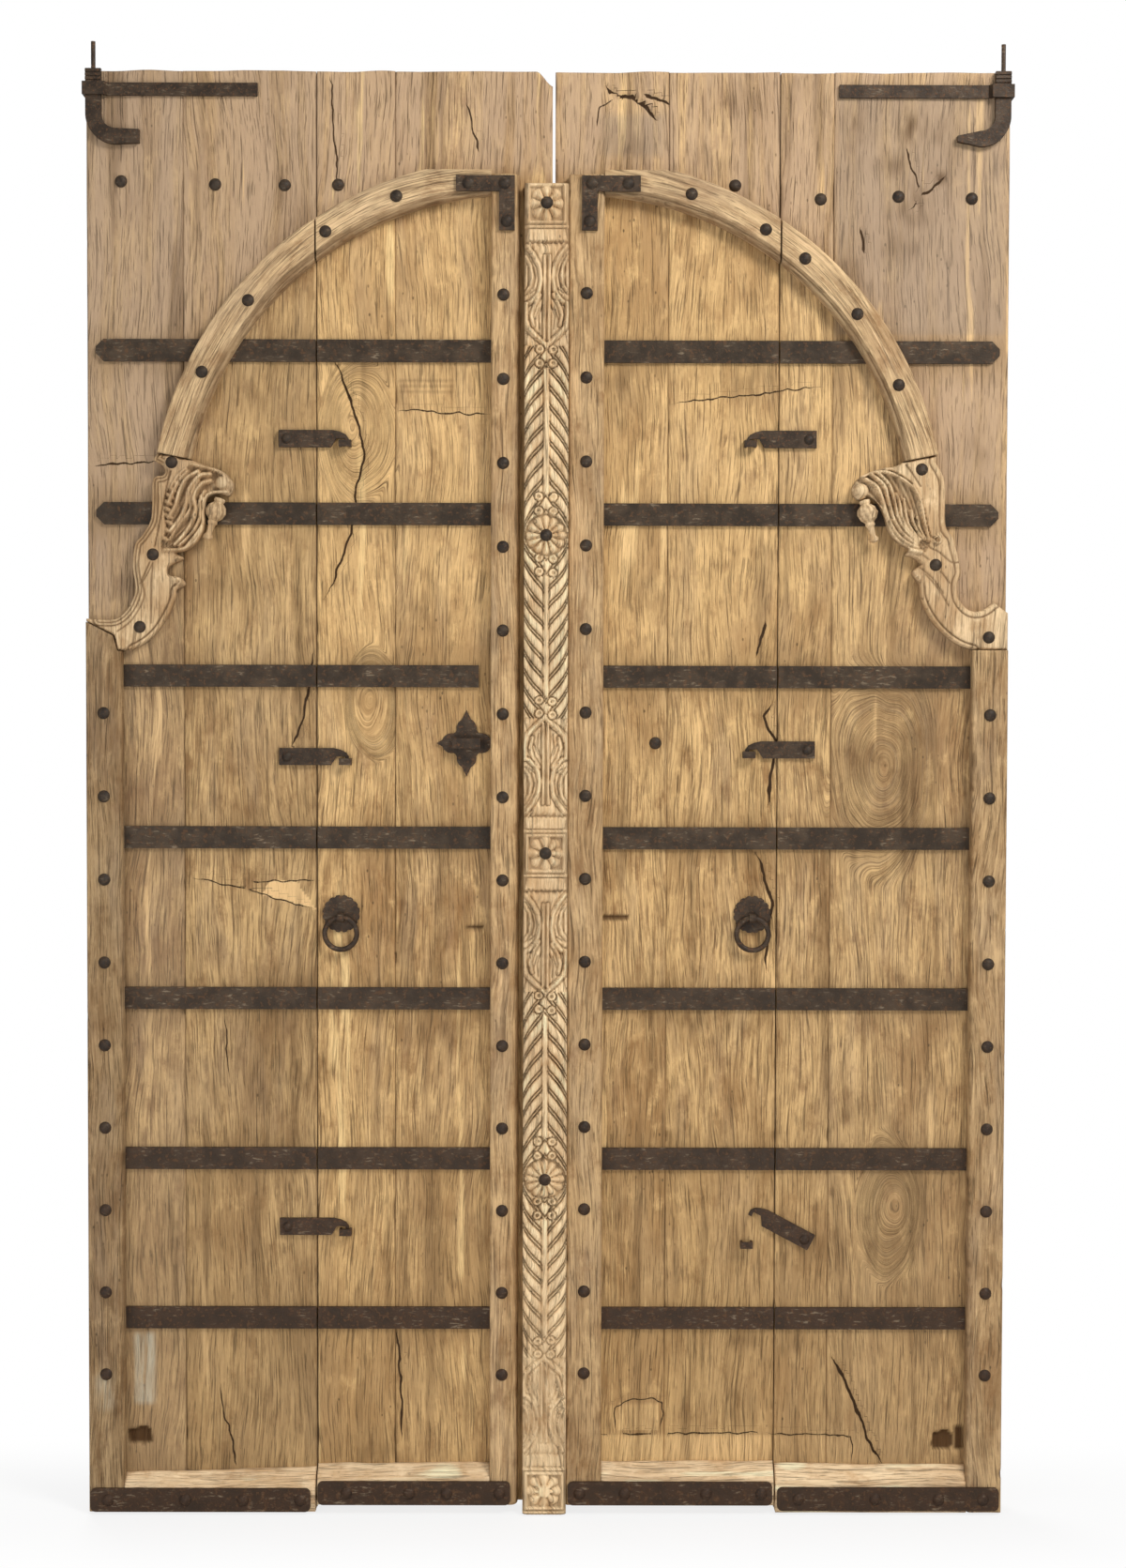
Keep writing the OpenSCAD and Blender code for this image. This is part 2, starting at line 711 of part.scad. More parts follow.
// Hanging bud below the fan, turned like a small vase
module bud(x, z, lean) {
    translate([x * bracket_k, z * bracket_k, bracket_h - 4]) rotate([90, 0, lean]) rotate_extrude()
        polygon(bracket_k * [[0, 0], [9, 0], [10, 6], [8, 9], [15, 16], [18, 26], [14, 36], [8, 42],
            [9, 47], [6, 52], [5, 66], [9, 72], [8, 77], [0, 80]]);
}

module bracket(s, outline, fan, w, sweep, ball, bud_at, points) {
    color("wheat") difference() {
        face() translate([s * foot_x, arch_z, 0]) {
            linear_extrude(bracket_h) polygon(outline);
            linear_extrude(bracket_h + high_relief) fan_ribs(fan, w);
            linear_extrude(bracket_h + low_relief) polygon(rib(spline(sweep * bracket_k, 3), 9 * bracket_k));
            translate([ball[0] * bracket_k, ball[1] * bracket_k, bracket_h - 2]) sphere(ball[2] * bracket_k);
            intersection() {
                bud(bud_at[0], bud_at[1], bud_at[2]);
                translate([-bracket_l, -bracket_l, 1]) cube([2 * bracket_l, 2 * bracket_l, bracket_l]);
            }
        }
        strap_space(s);
        holes_at(points, bracket_h);
    }
}

module right_bracket() {
    bracket(1, right_bracket_outline, right_fan, 11, right_sweep, [-88, 68, 13], [-83, 50, 14],
        right_bracket_nails);
}

module left_bracket() {
    bracket(-1, left_bracket_outline, left_fan, 10, left_sweep, [65, 77, 12], [64, 50, -18],
        left_bracket_nails);
}

// Sloped sills along the bottom
module sill(x0, x1, z0) {
    translate([x0, face_y, 0]) rotate([90, 0, 90]) linear_extrude(x1 - x0)
        polygon([[0, z0], [-stile_h, z0], [-stile_h, z0 + sill_front], [-4, z0 + sill_h], [0, z0 + sill_h]]);
}

module left_outer_sill() {
    color("wheat") difference() {
        sill(outer_stile_w - half_w, -outer_x, outer_bottom);
        holes_at(left_outer_band_nails, stile_h + band_t);
    }
}

module left_inner_sill() {
    color("wheat") difference() {
        sill(-inner_x, -left_stile_x, inner_bottom);
        holes_at(left_inner_band_nails, stile_h + band_t);
    }
}

module right_inner_sill() {
    color("wheat") difference() {
        sill(right_stile_x, inner_x, inner_bottom);
        holes_at(right_inner_band_nails, stile_h + band_t);
    }
}

module right_outer_sill() {
    color("wheat") difference() {
        sill(outer_x, half_w - outer_stile_w, outer_bottom);
        holes_at(right_outer_band_nails, stile_h + band_t);
    }
}

// Carved cover strip: two lengths of ornament between square rosette blocks, with a flower in each
function petal(l, w) = [for (a = [0:30:330]) [l / 2 * (1 - cos(a)), w / 2 * sin(a) * (1 - 0.35 * cos(a))]];

module rosette(n, r0, r1, w) {
    for (i = [0:n - 1]) rotate(i * 360 / n) translate([r0, 0]) polygon(petal(r1 - r0, w));
}

module both_sides() {
    children();
    mirror([1, 0]) children();
}

module scroll_pair(z) {
    both_sides() translate([13 * cover_k, z]) arch_ring(3.5 * cover_k, 8.5 * cover_k);
}

module feather(z) {
    both_sides() translate([0, z]) polygon(cover_k * [[3, 0], [11, -8], [21, -25], [31, -46], [37, -54],
        [37, -73], [31, -64], [21, -43], [11, -26], [3, -19]]);
}

module calyx(t) {
    lines = [[[-35, -75], [-24, -90], [-14, -110], [-11, -134], [-16, -159], [-28, -174], [-36, -180]],
        [[-36, -180], [-36, -199], [-32, -219], [-20, -234], [-5, -247]],
        [[-12, -148], [-22, -172], [-27, -195], [-21, -216], [-10, -230]],
        [[-28, -104], [-27, -124], [-29, -146], [-33, -160]]];
    both_sides() for (p = lines)
        polygon(rib(spline([for (q = p) [q[0] * cover_k, q[1] * t]], 3), 6.5 * cover_k));
    both_sides() translate([2.5 * cover_k, -240 * t]) square([3 * cover_k, 150 * t]);
}

// Ornament from a rosette block to the round flower, as long as t says
module ornament(t) {
    k = cover_k;
    polygon([[-33 * k, -43 * t], [33 * k, -43 * t], [37 * k, -68 * t], [-37 * k, -68 * t]]);
    calyx(t);
    for (z = [258, 283, 521, 547]) scroll_pair(-z * t);
    for (i = [0:6]) feather(-(268 + 31 * i) * t);
}

module cover_strip() {
    upper = flower_l / 590;
    lower = (unit_l - flower_l) / 590;
    color("wheat") difference() {
        union() {
            plan(cover_end, cover_top) polygon([[right_meet, 0], [cover_x, 0], [cover_x, 6 - cover_h],
                [cover_x - 6, -cover_h], [cover_x - cover_w + 6, -cover_h], [cover_x - cover_w, 6 - cover_h],
                [cover_x - cover_w, 0], [cover_x - cover_w + lip_w, 0],
                [cover_x - cover_w + lip_w, -lip_relief], [right_meet, -lip_relief]]);
            face(cover_h - 1) for (i = [0, 1, 2]) translate([cover_mid, block_z - i * unit_l, 0]) {
                foot = i == 2 ? min(block_l / 2, cover_foot - cover_end) : block_l / 2;
                linear_extrude(low_relief + 1) translate([-block_l / 2 + 2, -foot])
                    square([block_l - 4, block_l / 2 + foot]);
                if (i < 2) {
                    linear_extrude(high_relief + 1) rosette(8, 9.8, 32, 14);
                    linear_extrude(low_relief + 1) ornament(upper);
                    linear_extrude(low_relief + 1) translate([0, -unit_l]) mirror([0, 1]) ornament(lower);
                    linear_extrude(high_relief + 1) translate([0, -flower_l]) rosette(12, 9.8, 36, 11);
                }
            }
            for (p = cover_nails) face(cover_h - 1) translate([p[0], p[1], 0])
                cylinder(h = high_relief + 1, r = nail_r - 1);
        }
        holes_at(cover_nails, cover_h + high_relief);
    }
}

// Angle irons where the arch meets the stiles
module corner_iron(s, points) {
    top = arch_top - corner_down;
    color("dimgray") difference() {
        face(stile_h) linear_extrude(strap_t) polygon([[s * (corner_in + corner_l), top - corner_w],
            [s * (corner_in + corner_l), top], [s * corner_in, top], [s * corner_in, top - corner_h],
            [s * (corner_in + corner_w), top - corner_h], [s * (corner_in + corner_w), top - corner_w]]);
        holes_at(points, stile_h + strap_t);
    }
}

module left_corner_iron() {
    corner_iron(-1, left_corner_nails);
}

module right_corner_iron() {
    corner_iron(1, right_corner_nails);
}

// Pivot irons: a hooked bar on the face whose head is drawn out into the top pin
module pivot_iron(s, tip) {
    bar = 2 * pivot_out;
    bend = pivot_bend + pivot_arm;
    bend_x = half_w - bend;
    bend_z = leaf_top - pivot_drop;
    color("dimgray") {
        face() linear_extrude(bar) {
            translate([s > 0 ? half_w - pivot_arm : -half_w, bend_z]) square([pivot_arm, pivot_drop]);
            intersection() {
                translate([s * bend_x, bend_z]) arch_ring(pivot_bend, bend);
                translate([s > 0 ? bend_x : -half_w, bend_z - bend]) square([bend, bend]);
            }
            polygon([[s * bend_x, bend_z - pivot_bend], [s * bend_x, bend_z - bend],
                [s * (bend_x - pivot_tail), bend_z - bend + tip],
                [s * (bend_x - pivot_tail), bend_z - pivot_bend - tip]]);
        }
        for (i = [0:2]) face(bar - 1)
            translate([s * (half_w - pivot_arm / 2) - pivot_arm / 2, leaf_top - 20 + i * 7, 0])
                cube([pivot_arm, 4, 3]);
        translate([s * pivot_x, face_y - pivot_out, leaf_top - 40])
            cylinder(h = 40 + top_pin_l, r = top_pin_r);
    }
}

module left_pivot_iron() {
    pivot_iron(-1, 2);
}

module right_pivot_iron() {
    pivot_iron(1, 9);
}

// Straps that step over the pivot irons and wrap the outer edges
module pivot_strap(s) {
    bar = 2 * pivot_out;
    end = half_w - pivot_strap_l;
    inner = half_w - pivot_arm;
    color("dimgray") plan(leaf_top - pivot_strap_down, leaf_top - pivot_strap_down + pivot_strap_w)
        polygon([[s * (half_w + strap_t), 30], [s * (half_w + strap_t), -bar - strap_t],
            [s * (inner - 6), -bar - strap_t], [s * (inner - 12), -strap_t], [s * end, -strap_t],
            [s * end, 0], [s * (inner - 7), 0], [s * (inner - 2), -bar], [s * half_w, -bar], [s * half_w, 30]]);
}

module left_pivot_strap() {
    pivot_strap(-1);
}

module right_pivot_strap() {
    pivot_strap(1);
}

// Ledges across the back, cut back at a slope beside the fold joints
function ledge_height(i) = ledge_low + i * (leaf_top - ledge_down - ledge_low) / 4;

module outer_ledges(s) {
    color("peru") for (i = [0:4]) plan(ledge_height(i) - ledge_w / 2, ledge_height(i) + ledge_w / 2)
        polygon([[s * (seam_x + ledge_in), plank_t], [s * (half_w - ledge_side), plank_t],
            [s * (half_w - ledge_side), plank_t + ledge_t],
            [s * (seam_x + ledge_in + ledge_slope), plank_t + ledge_t]]);
}

module inner_ledges(s) {
    color("peru") for (i = [0:4]) plan(ledge_height(i) - ledge_w / 2, ledge_height(i) + ledge_w / 2)
        polygon([[s * (seam_x - ledge_in), plank_t], [s * ledge_meet, plank_t],
            [s * ledge_meet, plank_t + ledge_t], [s * (seam_x - ledge_in - ledge_slope), plank_t + ledge_t]]);
}

module left_outer_ledges() {
    outer_ledges(-1);
}

module left_inner_ledges() {
    inner_ledges(-1);
}

module right_inner_ledges() {
    inner_ledges(1);
}

module right_outer_ledges() {
    outer_ledges(1);
}

// Fold hinges on the back; the outer plates keep the pins
module hinge_knuckle(s, z0, z1) {
    translate([s * seam_x, fold_y, z0]) cylinder(h = z1 - z0, r = knuckle_r);
}

module hinge_plate(s, side, z, tabs) {
    d = s * side;
    x0 = d > 0 ? s * seam_x + hinge_in : s * seam_x - hinge_plate_w;
    translate([x0, face_y + plank_t, z - hinge_half])
        cube([hinge_plate_w - hinge_in, hinge_plate_t, 2 * hinge_half]);
    for (t = tabs) {
        translate([d > 0 ? s * seam_x : s * seam_x - hinge_in - 1, face_y + plank_t + 1.2, z + t[0]])
            cube([hinge_in + 1, hinge_plate_t - 1.2, t[1] - t[0]]);
        hinge_knuckle(s, z + t[0], z + t[1]);
    }
}

module hinge_side(s, side, tabs) {
    color("gray") for (z = hinge_z) difference() {
        hinge_plate(s, side, z, tabs);
        translate([s * seam_x, fold_y, z - hinge_half - 5])
            cylinder(h = 2 * hinge_half + 10, r = hinge_pin_r + pin_fit);
    }
}

module hinge_pins(s) {
    color("gray") for (z = hinge_z) translate([s * seam_x, fold_y, z - hinge_half - 2])
        cylinder(h = 2 * hinge_half + 4, r = hinge_pin_r);
}

outer_tabs = [[-hinge_half, -hinge_tab - seat], [hinge_tab + seat, hinge_half]];
inner_tabs = [[-hinge_tab + seat, hinge_tab - seat]];

module left_outer_hinges() {
    hinge_side(-1, 1, outer_tabs);
    hinge_pins(-1);
}

module left_inner_hinges() {
    hinge_side(-1, -1, inner_tabs);
}

module right_inner_hinges() {
    hinge_side(1, -1, inner_tabs);
}

module right_outer_hinges() {
    hinge_side(1, 1, outer_tabs);
    hinge_pins(1);
}

// Hooks across the fold joints; each turns on its rivet and drops its beak into a staple
module hook(s, z, lift) {
    color("dimgray") face(hook_rest) translate([s * hook_x, z, 0]) mirror([s > 0 ? 1 : 0, 0, 0])
        rotate([0, 0, lift]) linear_extrude(hook_t) difference() {
            polygon(hook_k * [[-14, -15], [80, -15], [90, 1], [105.5, 1], [105.5, -8], [111.5, -8], [112, 1],
                [107, 8], [97, 13], [84, 16], [-14, 16]]);
            circle(rivet_r + pin_fit);
        }
}

module left_hook_top() {
    hook(-1, left_hook_z[0], 0);
}

module left_hook_middle() {
    hook(-1, left_hook_z[1], 0);
}

module left_hook_bottom() {
    hook(-1, left_hook_z[2], 0);
}

module right_hook_top() {
    hook(1, right_hook_z[0], 0);
}

module right_hook_middle() {
    hook(1, right_hook_z[1], 0);
}

module right_hook_bottom() {
    hook(1, right_hook_z[2], hook_lift);
}

// Staples for the hooks, and the eye that carries the ring
module hook_staple(s, z) {
    mid = (hook_legs[0] + hook_legs[1]) / 2;
    span = hook_legs[1] - hook_legs[0] - staple_bar;
    plan(z + staple_top - staple_h, z + staple_top) translate([s * (hook_x - mid), 0]) difference() {
        translate([-span / 2 - staple_bar, -staple_out])
            square([span + 2 * staple_bar, staple_out + staple_len]);
        translate([-span / 2, staple_bar - staple_out]) square([span, staple_out + staple_len]);
    }
}

module ring_eye(s) {
    translate([s * ring_x - eye_w / 2, face_y - ring_out, ring_z + ring_r]) rotate([90, 0, 90])
        linear_extrude(eye_w) difference() {
            union() {
                circle(eye_r + eye_bar);
                translate([eye_r - 1, -eye_h / 2]) square([ring_out + staple_len - eye_r, eye_h]);
            }
            circle(eye_r);
        }
}

module left_staples() {
    color("dimgray") {
        for (z = left_hook_z) hook_staple(-1, z);
        ring_eye(-1);
    }
}

module right_staples() {
    color("dimgray") {
        for (z = right_hook_z) hook_staple(1, z);
        ring_eye(1);
    }
}

// Scalloped plates and the ring pulls
module ring_plate(s) {
    color("dimgray") face() linear_extrude(ring_plate_t) difference() {
        translate([s * ring_x, ring_z + ring_r + ring_plate_up]) difference() {
            circle(ring_plate_r);
            for (i = [0:15]) rotate(i * 22.5) translate([ring_plate_r + 2.5, 0]) circle(4.5);
        }
        translate([s * ring_x - (eye_w + bore_fit) / 2, ring_z + ring_r - (eye_h + bore_fit) / 2])
            square([eye_w + bore_fit, eye_h + bore_fit]);
    }
}

module left_ring_plate() {
    ring_plate(-1);
}

module right_ring_plate() {
    ring_plate(1);
}

module ring(s) {
    color("dimgray") face(ring_out) translate([s * ring_x, ring_z, 0]) rotate_extrude()
        translate([ring_r, 0]) circle(ring_bar_r);
}

module left_ring() {
    ring(-1);
}

module right_ring() {
    ring(1);
}

// Lock plate with pointed lobes, and the staple through it
module lock_plate() {
    color("dimgray") face() linear_extrude(lock_plate_t) difference() {
        translate([lock_x, lock_z]) intersection() {
            union() {
                polygon(lock_k * [[-54, 0], [-20, -20], [0, -60], [20, -20], [54, 0], [20, 20], [0, 60],
                    [-20, 20]]);
                for (a = [0:90:270]) rotate(a) translate([27 * lock_k, 0]) circle(18 * lock_k);
            }
            translate([-lock_r, -lock_r - 1]) square([lock_r + lock_off - seat, 2 * lock_r + 2]);
        }
        for (x = [-lock_half, lock_half])
            translate([lock_x + x - (lock_bar + bore_fit) / 2, lock_z - (lock_h + bore_fit) / 2])
                square([lock_bar + bore_fit, lock_h + bore_fit]);
    }
}

module lock_staple() {
    wide = lock_half + lock_bar / 2;
    color("dimgray") plan(lock_z - lock_h / 2, lock_z + lock_h / 2) translate([lock_x, 0]) difference() {
        translate([-wide, -lock_out]) square([2 * wide, lock_out + staple_len - 2]);
        translate([lock_bar - wide, lock_bar - lock_out])
            square([2 * (wide - lock_bar), lock_out + staple_len - lock_bar]);
    }
}

heel_pins();
left_plank_a();
left_plank_b();
left_plank_c();
left_plank_d();
right_plank_a();
right_plank_b();
right_plank_c();
right_plank_d();
left_outer_straps();
left_inner_straps();
right_inner_straps();
right_outer_straps();
left_outer_stile();
left_inner_stile();
right_inner_stile();
right_outer_stile();
left_arch_lower();
left_arch_upper();
right_arch_upper();
right_arch_lower();
left_bracket();
right_bracket();
left_outer_sill();
left_inner_sill();
right_inner_sill();
right_outer_sill();
cover_strip();
left_corner_iron();
right_corner_iron();
left_pivot_iron();
right_pivot_iron();
left_pivot_strap();
right_pivot_strap();
left_outer_nails();
left_inner_nails();
right_inner_nails();
right_outer_nails();
left_outer_ledges();
left_inner_ledges();
right_inner_ledges();
right_outer_ledges();
left_outer_hinges();
left_inner_hinges();
right_inner_hinges();
right_outer_hinges();
left_hook_top();
left_hook_middle();
left_hook_bottom();
right_hook_top();
right_hook_middle();
right_hook_bottom();
left_staples();
right_staples();
left_ring_plate();
right_ring_plate();
left_ring();
right_ring();
lock_plate();
lock_staple();
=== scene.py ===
"""Looks of the old folding plank door: camera, light, weathered wood, worn iron and carved surfaces."""

import json
import math

import bpy
import numpy as np
from mathutils import Matrix, Vector

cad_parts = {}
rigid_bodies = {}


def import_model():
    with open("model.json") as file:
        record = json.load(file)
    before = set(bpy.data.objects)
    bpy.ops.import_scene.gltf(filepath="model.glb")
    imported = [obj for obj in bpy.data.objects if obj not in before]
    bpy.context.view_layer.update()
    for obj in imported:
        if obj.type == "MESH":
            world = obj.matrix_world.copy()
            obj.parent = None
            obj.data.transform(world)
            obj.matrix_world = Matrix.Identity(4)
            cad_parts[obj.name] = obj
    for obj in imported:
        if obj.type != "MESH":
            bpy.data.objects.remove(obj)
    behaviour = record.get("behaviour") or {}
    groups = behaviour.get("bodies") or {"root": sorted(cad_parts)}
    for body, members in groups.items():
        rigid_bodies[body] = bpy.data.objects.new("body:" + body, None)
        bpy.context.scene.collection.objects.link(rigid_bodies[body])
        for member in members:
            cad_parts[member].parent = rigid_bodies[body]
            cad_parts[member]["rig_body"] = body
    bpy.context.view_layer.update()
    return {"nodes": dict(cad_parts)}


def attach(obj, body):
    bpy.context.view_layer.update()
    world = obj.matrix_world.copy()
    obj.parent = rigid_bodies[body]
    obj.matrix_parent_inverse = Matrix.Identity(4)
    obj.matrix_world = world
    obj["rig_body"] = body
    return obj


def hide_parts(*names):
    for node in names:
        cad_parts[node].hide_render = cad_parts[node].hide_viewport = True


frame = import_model()
nodes = frame["nodes"]

# The door's own sizes, in millimetres like all carving sizes below
FACE_Y = -9.0  # front of the planks
LEAF_TOP, HALF_W, PLANK_T = 2610.0, 830.0, 38.0
OUTER_FOOT, INNER_FOOT = 4.0, 17.0  # bottom edges of the outer and inner panels
JOINT_IN, JOINT_OUT = 415.5, 418.5  # sides of the fold joint
LEFT_STILE, RIGHT_STILE = 102.0, 101.0  # outer edges of the meeting stiles
OUTER_STILE = 766.0  # inner edges of the outer stiles
STILE_H, BRACKET_H = 28.0, 24.0  # how far frame and brackets stand out from the planks
ARCH_X, ARCH_Z, ARCH_R, ARCH_W = 58.0, 1793.0, 594.0, 62.0
SPLIT_REACH = 12.0  # how far from a crack the mesh keeps the distance to it

# The photo's camera, in pixels, millimetres, metres and radians
PHOTO_W, FOCAL, SENSOR = 1200.0, 2464.0, 36.0
CAMERA_AT = (0.0138, -4.2, 1.469)
YAW, PITCH, ROLL = -0.0036, 0.0333, -0.0025

LIGHTS = [  # name, place, target, size, power, colour
    ("key", (2.3, -2.6, 4.3), (0.0, 0.0, 1.3), (1.3, 1.3), 150.0, (1.0, 0.97, 0.93)),
    ("fill", (-2.6, -3.4, 1.6), (0.0, 0.0, 1.2), (2.4, 2.4), 42.0, (1.0, 0.98, 0.96)),
    ("low", (0.4, -3.2, 0.25), (0.0, 0.0, 0.9), (2.2, 0.7), 20.0, (1.0, 0.98, 0.95)),
    ("rear", (-1.5, 3.2, 3.4), (0.0, 0.0, 1.3), (2.0, 2.0), 90.0, (1.0, 0.99, 0.98)),
]
SKY, SKY_STRENGTH = (0.95, 0.97, 1.0, 1), 0.42
FLOOR_HALF, FLOOR_GREY = 9, (0.8, 0.8, 0.8, 1)

# Colours of wear on wood and iron
GREY_WASH, DULL, CHALK = (0.37, 0.28, 0.19), (0.26, 0.205, 0.155), (0.5, 0.455, 0.345)
OUTSIDE = (0.47, 0.325, 0.205)  # planks above the arch
LOW_RUST, DUST = (0.046, 0.021, 0.01), (0.29, 0.225, 0.15)

# Metres: places where the grain runs round a knot, with its reach, and the rows of straps
KNOTS = [(-0.352, 1.974, 0.045), (0.614, 1.364, 0.07), (-0.319, 1.483, 0.018), (0.64, 0.56, 0.036)]
STRAP_ROW, STRAP_PITCH = 2.109, 0.2925


# Camera, light and floor
def new_object(name, data):
    obj = bpy.data.objects.new(name, data)
    bpy.context.scene.collection.objects.link(obj)
    return obj


def empty_tree(owner):
    owner.use_nodes = True
    owner.node_tree.nodes.clear()
    return owner.node_tree


def make_camera():
    data = bpy.data.cameras.new("camera")
    data.sensor_fit = "HORIZONTAL"
    data.sensor_width = SENSOR
    data.lens = FOCAL / PHOTO_W * SENSOR
    data.clip_end = 50.0
    cam = new_object("camera", data)
    turn = (Matrix.Rotation(YAW, 4, "Z") @ Matrix.Rotation(-PITCH, 4, "X")
            @ Matrix.Rotation(ROLL, 4, "Y") @ Matrix.Rotation(math.radians(90), 4, "X"))
    cam.matrix_world = Matrix.Translation(CAMERA_AT) @ turn
    bpy.context.scene.camera = cam


def area_light(name, place, target, size, power, colour):
    data = bpy.data.lights.new(name, "AREA")
    data.shape = "RECTANGLE"
    data.size, data.size_y = size
    data.energy = power
    data.color = colour
    lamp = new_object(name, data)
    aim = (Vector(target) - Vector(place)).to_track_quat("-Z", "Y")
    lamp.matrix_world = Matrix.Translation(place) @ aim.to_matrix().to_4x4()


def node(tree, kind, **values):
    """A new shader node, with values for its inputs."""
    n = tree.nodes.new("ShaderNode" + kind)
    for key, value in values.items():
        n.inputs[key].default_value = value
    return n


def smooth_range(tree, low, high, to_low, to_high):
    ends = {"From Min": low, "From Max": high, "To Min": to_low, "To Max": to_high}
    n = node(tree, "MapRange", **ends)
    n.interpolation_type = "SMOOTHSTEP"
    return n


def make_light():
    """Soft studio lamps, and a world that is white to the camera alone."""
    for light in LIGHTS:
        area_light(*light)
    world = bpy.data.worlds.new("world")
    bpy.context.scene.world = world
    tree = empty_tree(world)
    path = node(tree, "LightPath")
    clear = node(tree, "Background", Color=(1, 1, 1, 1))
    soft = node(tree, "Background", Color=SKY, Strength=SKY_STRENGTH)
    mix = node(tree, "MixShader")
    out = node(tree, "OutputWorld")
    tree.links.new(path.outputs["Is Camera Ray"], mix.inputs[0])
    tree.links.new(soft.outputs[0], mix.inputs[1])
    tree.links.new(clear.outputs[0], mix.inputs[2])
    tree.links.new(mix.outputs[0], out.inputs["Surface"])


def make_floor():
    """A pale floor, white to the camera, which keeps the shadow close to the door."""
    h = FLOOR_HALF
    mesh = bpy.data.meshes.new("floor")
    mesh.from_pydata([(-h, -h, 0), (h, -h, 0), (h, h, 0), (-h, h, 0)], [], [(0, 1, 2, 3)])
    floor = new_object("floor", mesh)
    mat = bpy.data.materials.new("floor_white")
    tree = empty_tree(mat)
    path = node(tree, "LightPath")
    diffuse = node(tree, "BsdfDiffuse", Color=FLOOR_GREY)
    glow = node(tree, "Emission", Strength=1.0)
    coords, parts = node(tree, "TexCoord"), node(tree, "SeparateXYZ")
    depth, share = node(tree, "Math"), node(tree, "Math")
    depth.operation, share.operation = "ABSOLUTE", "MULTIPLY"
    near = smooth_range(tree, 0.05, 0.4, 0.8, 1.0)
    mix = node(tree, "MixShader")
    out = node(tree, "OutputMaterial")
    for source, target in ((coords.outputs["Object"], parts.inputs[0]),
                           (parts.outputs[1], depth.inputs[0]),
                           (depth.outputs[0], near.inputs["Value"]),
                           (path.outputs["Is Camera Ray"], share.inputs[0]),
                           (near.outputs[0], share.inputs[1]),
                           (share.outputs[0], mix.inputs[0]),
                           (diffuse.outputs[0], mix.inputs[1]),
                           (glow.outputs[0], mix.inputs[2]),
                           (mix.outputs[0], out.inputs["Surface"])):
        tree.links.new(source, target)
    mesh.materials.append(mat)


# Material building blocks
class Graph:
    """A small builder for node materials."""

    def __init__(self, name):
        self.mat = bpy.data.materials.new(name)
        self.tree = empty_tree(self.mat)
        self.out = node(self.tree, "OutputMaterial")
        self.bsdf = node(self.tree, "BsdfPrincipled")
        self.tree.links.new(self.bsdf.outputs[0], self.out.inputs["Surface"])

    def put(self, socket, value):
        if isinstance(value, bpy.types.NodeSocket):
            self.tree.links.new(value, socket)
        elif isinstance(value, tuple):
            socket.default_value = (*value, 1.0)
        else:
            socket.default_value = value

    def math(self, op, a, b=0.0, clamp=False):
        n = node(self.tree, "Math")
        n.operation = op
        n.use_clamp = clamp
        self.put(n.inputs[0], a)
        self.put(n.inputs[1], b)
        return n.outputs[0]

    def add(self, a, b):
        return self.math("ADD", a, b)

    def sub(self, a, b):
        return self.math("SUBTRACT", a, b)

    def mul(self, a, b, clamp=False):
        return self.math("MULTIPLY", a, b, clamp)

    def length(self, a, b):
        return self.math("SQRT", self.add(self.mul(a, a), self.mul(b, b)))

    def ramp(self, value, low, high, to_low=0.0, to_high=1.0):
        n = smooth_range(self.tree, low, high, to_low, to_high)
        self.put(n.inputs["Value"], value)
        return n.outputs[0]

    def place(self):
        n, s = node(self.tree, "TexCoord"), node(self.tree, "SeparateXYZ")
        self.tree.links.new(n.outputs["Object"], s.inputs[0])
        return s.outputs[0], s.outputs[1], s.outputs[2]

    def vector(self, x, y, z):
        n = node(self.tree, "CombineXYZ")
        for i, v in enumerate((x, y, z)):
            self.put(n.inputs[i], v)
        return n.outputs[0]

    def noise(self, vector, scale, detail, rough, warp=0.0):
        n = node(self.tree, "TexNoise", Scale=scale, Detail=detail, Roughness=rough, Distortion=warp)
        self.put(n.inputs["Vector"], vector)
        return n.outputs[0]

    def cells(self, vector):
        n = node(self.tree, "TexVoronoi", Scale=1.0)
        self.put(n.inputs["Vector"], vector)
        return n.outputs["Distance"]

    def mix(self, share, a, b):
        n = node(self.tree, "Mix")
        n.data_type = "RGBA"
        self.put(n.inputs[0], share)
        self.put(n.inputs[6], a)
        self.put(n.inputs[7], b)
        return n.outputs[2]

    def attribute(self, name):
        n = node(self.tree, "Attribute")
        n.attribute_name = name
        return n.outputs["Fac"]

    def bump(self, height, strength, distance):
        n = node(self.tree, "Bump", Strength=strength, Distance=distance)
        self.put(n.inputs["Height"], height)
        return n.outputs[0]

    def surface(self, colour, rough, normal):
        for key, value in (("Base Color", colour), ("Roughness", rough), ("Normal", normal)):
            self.tree.links.new(value, self.bsdf.inputs[key])
        return self.mat


def tint(colour, *factors):
    """The colour times one factor, or times one factor for each channel."""
    return tuple(c * f for c, f in zip(colour, factors * 3 if len(factors) == 1 else factors))


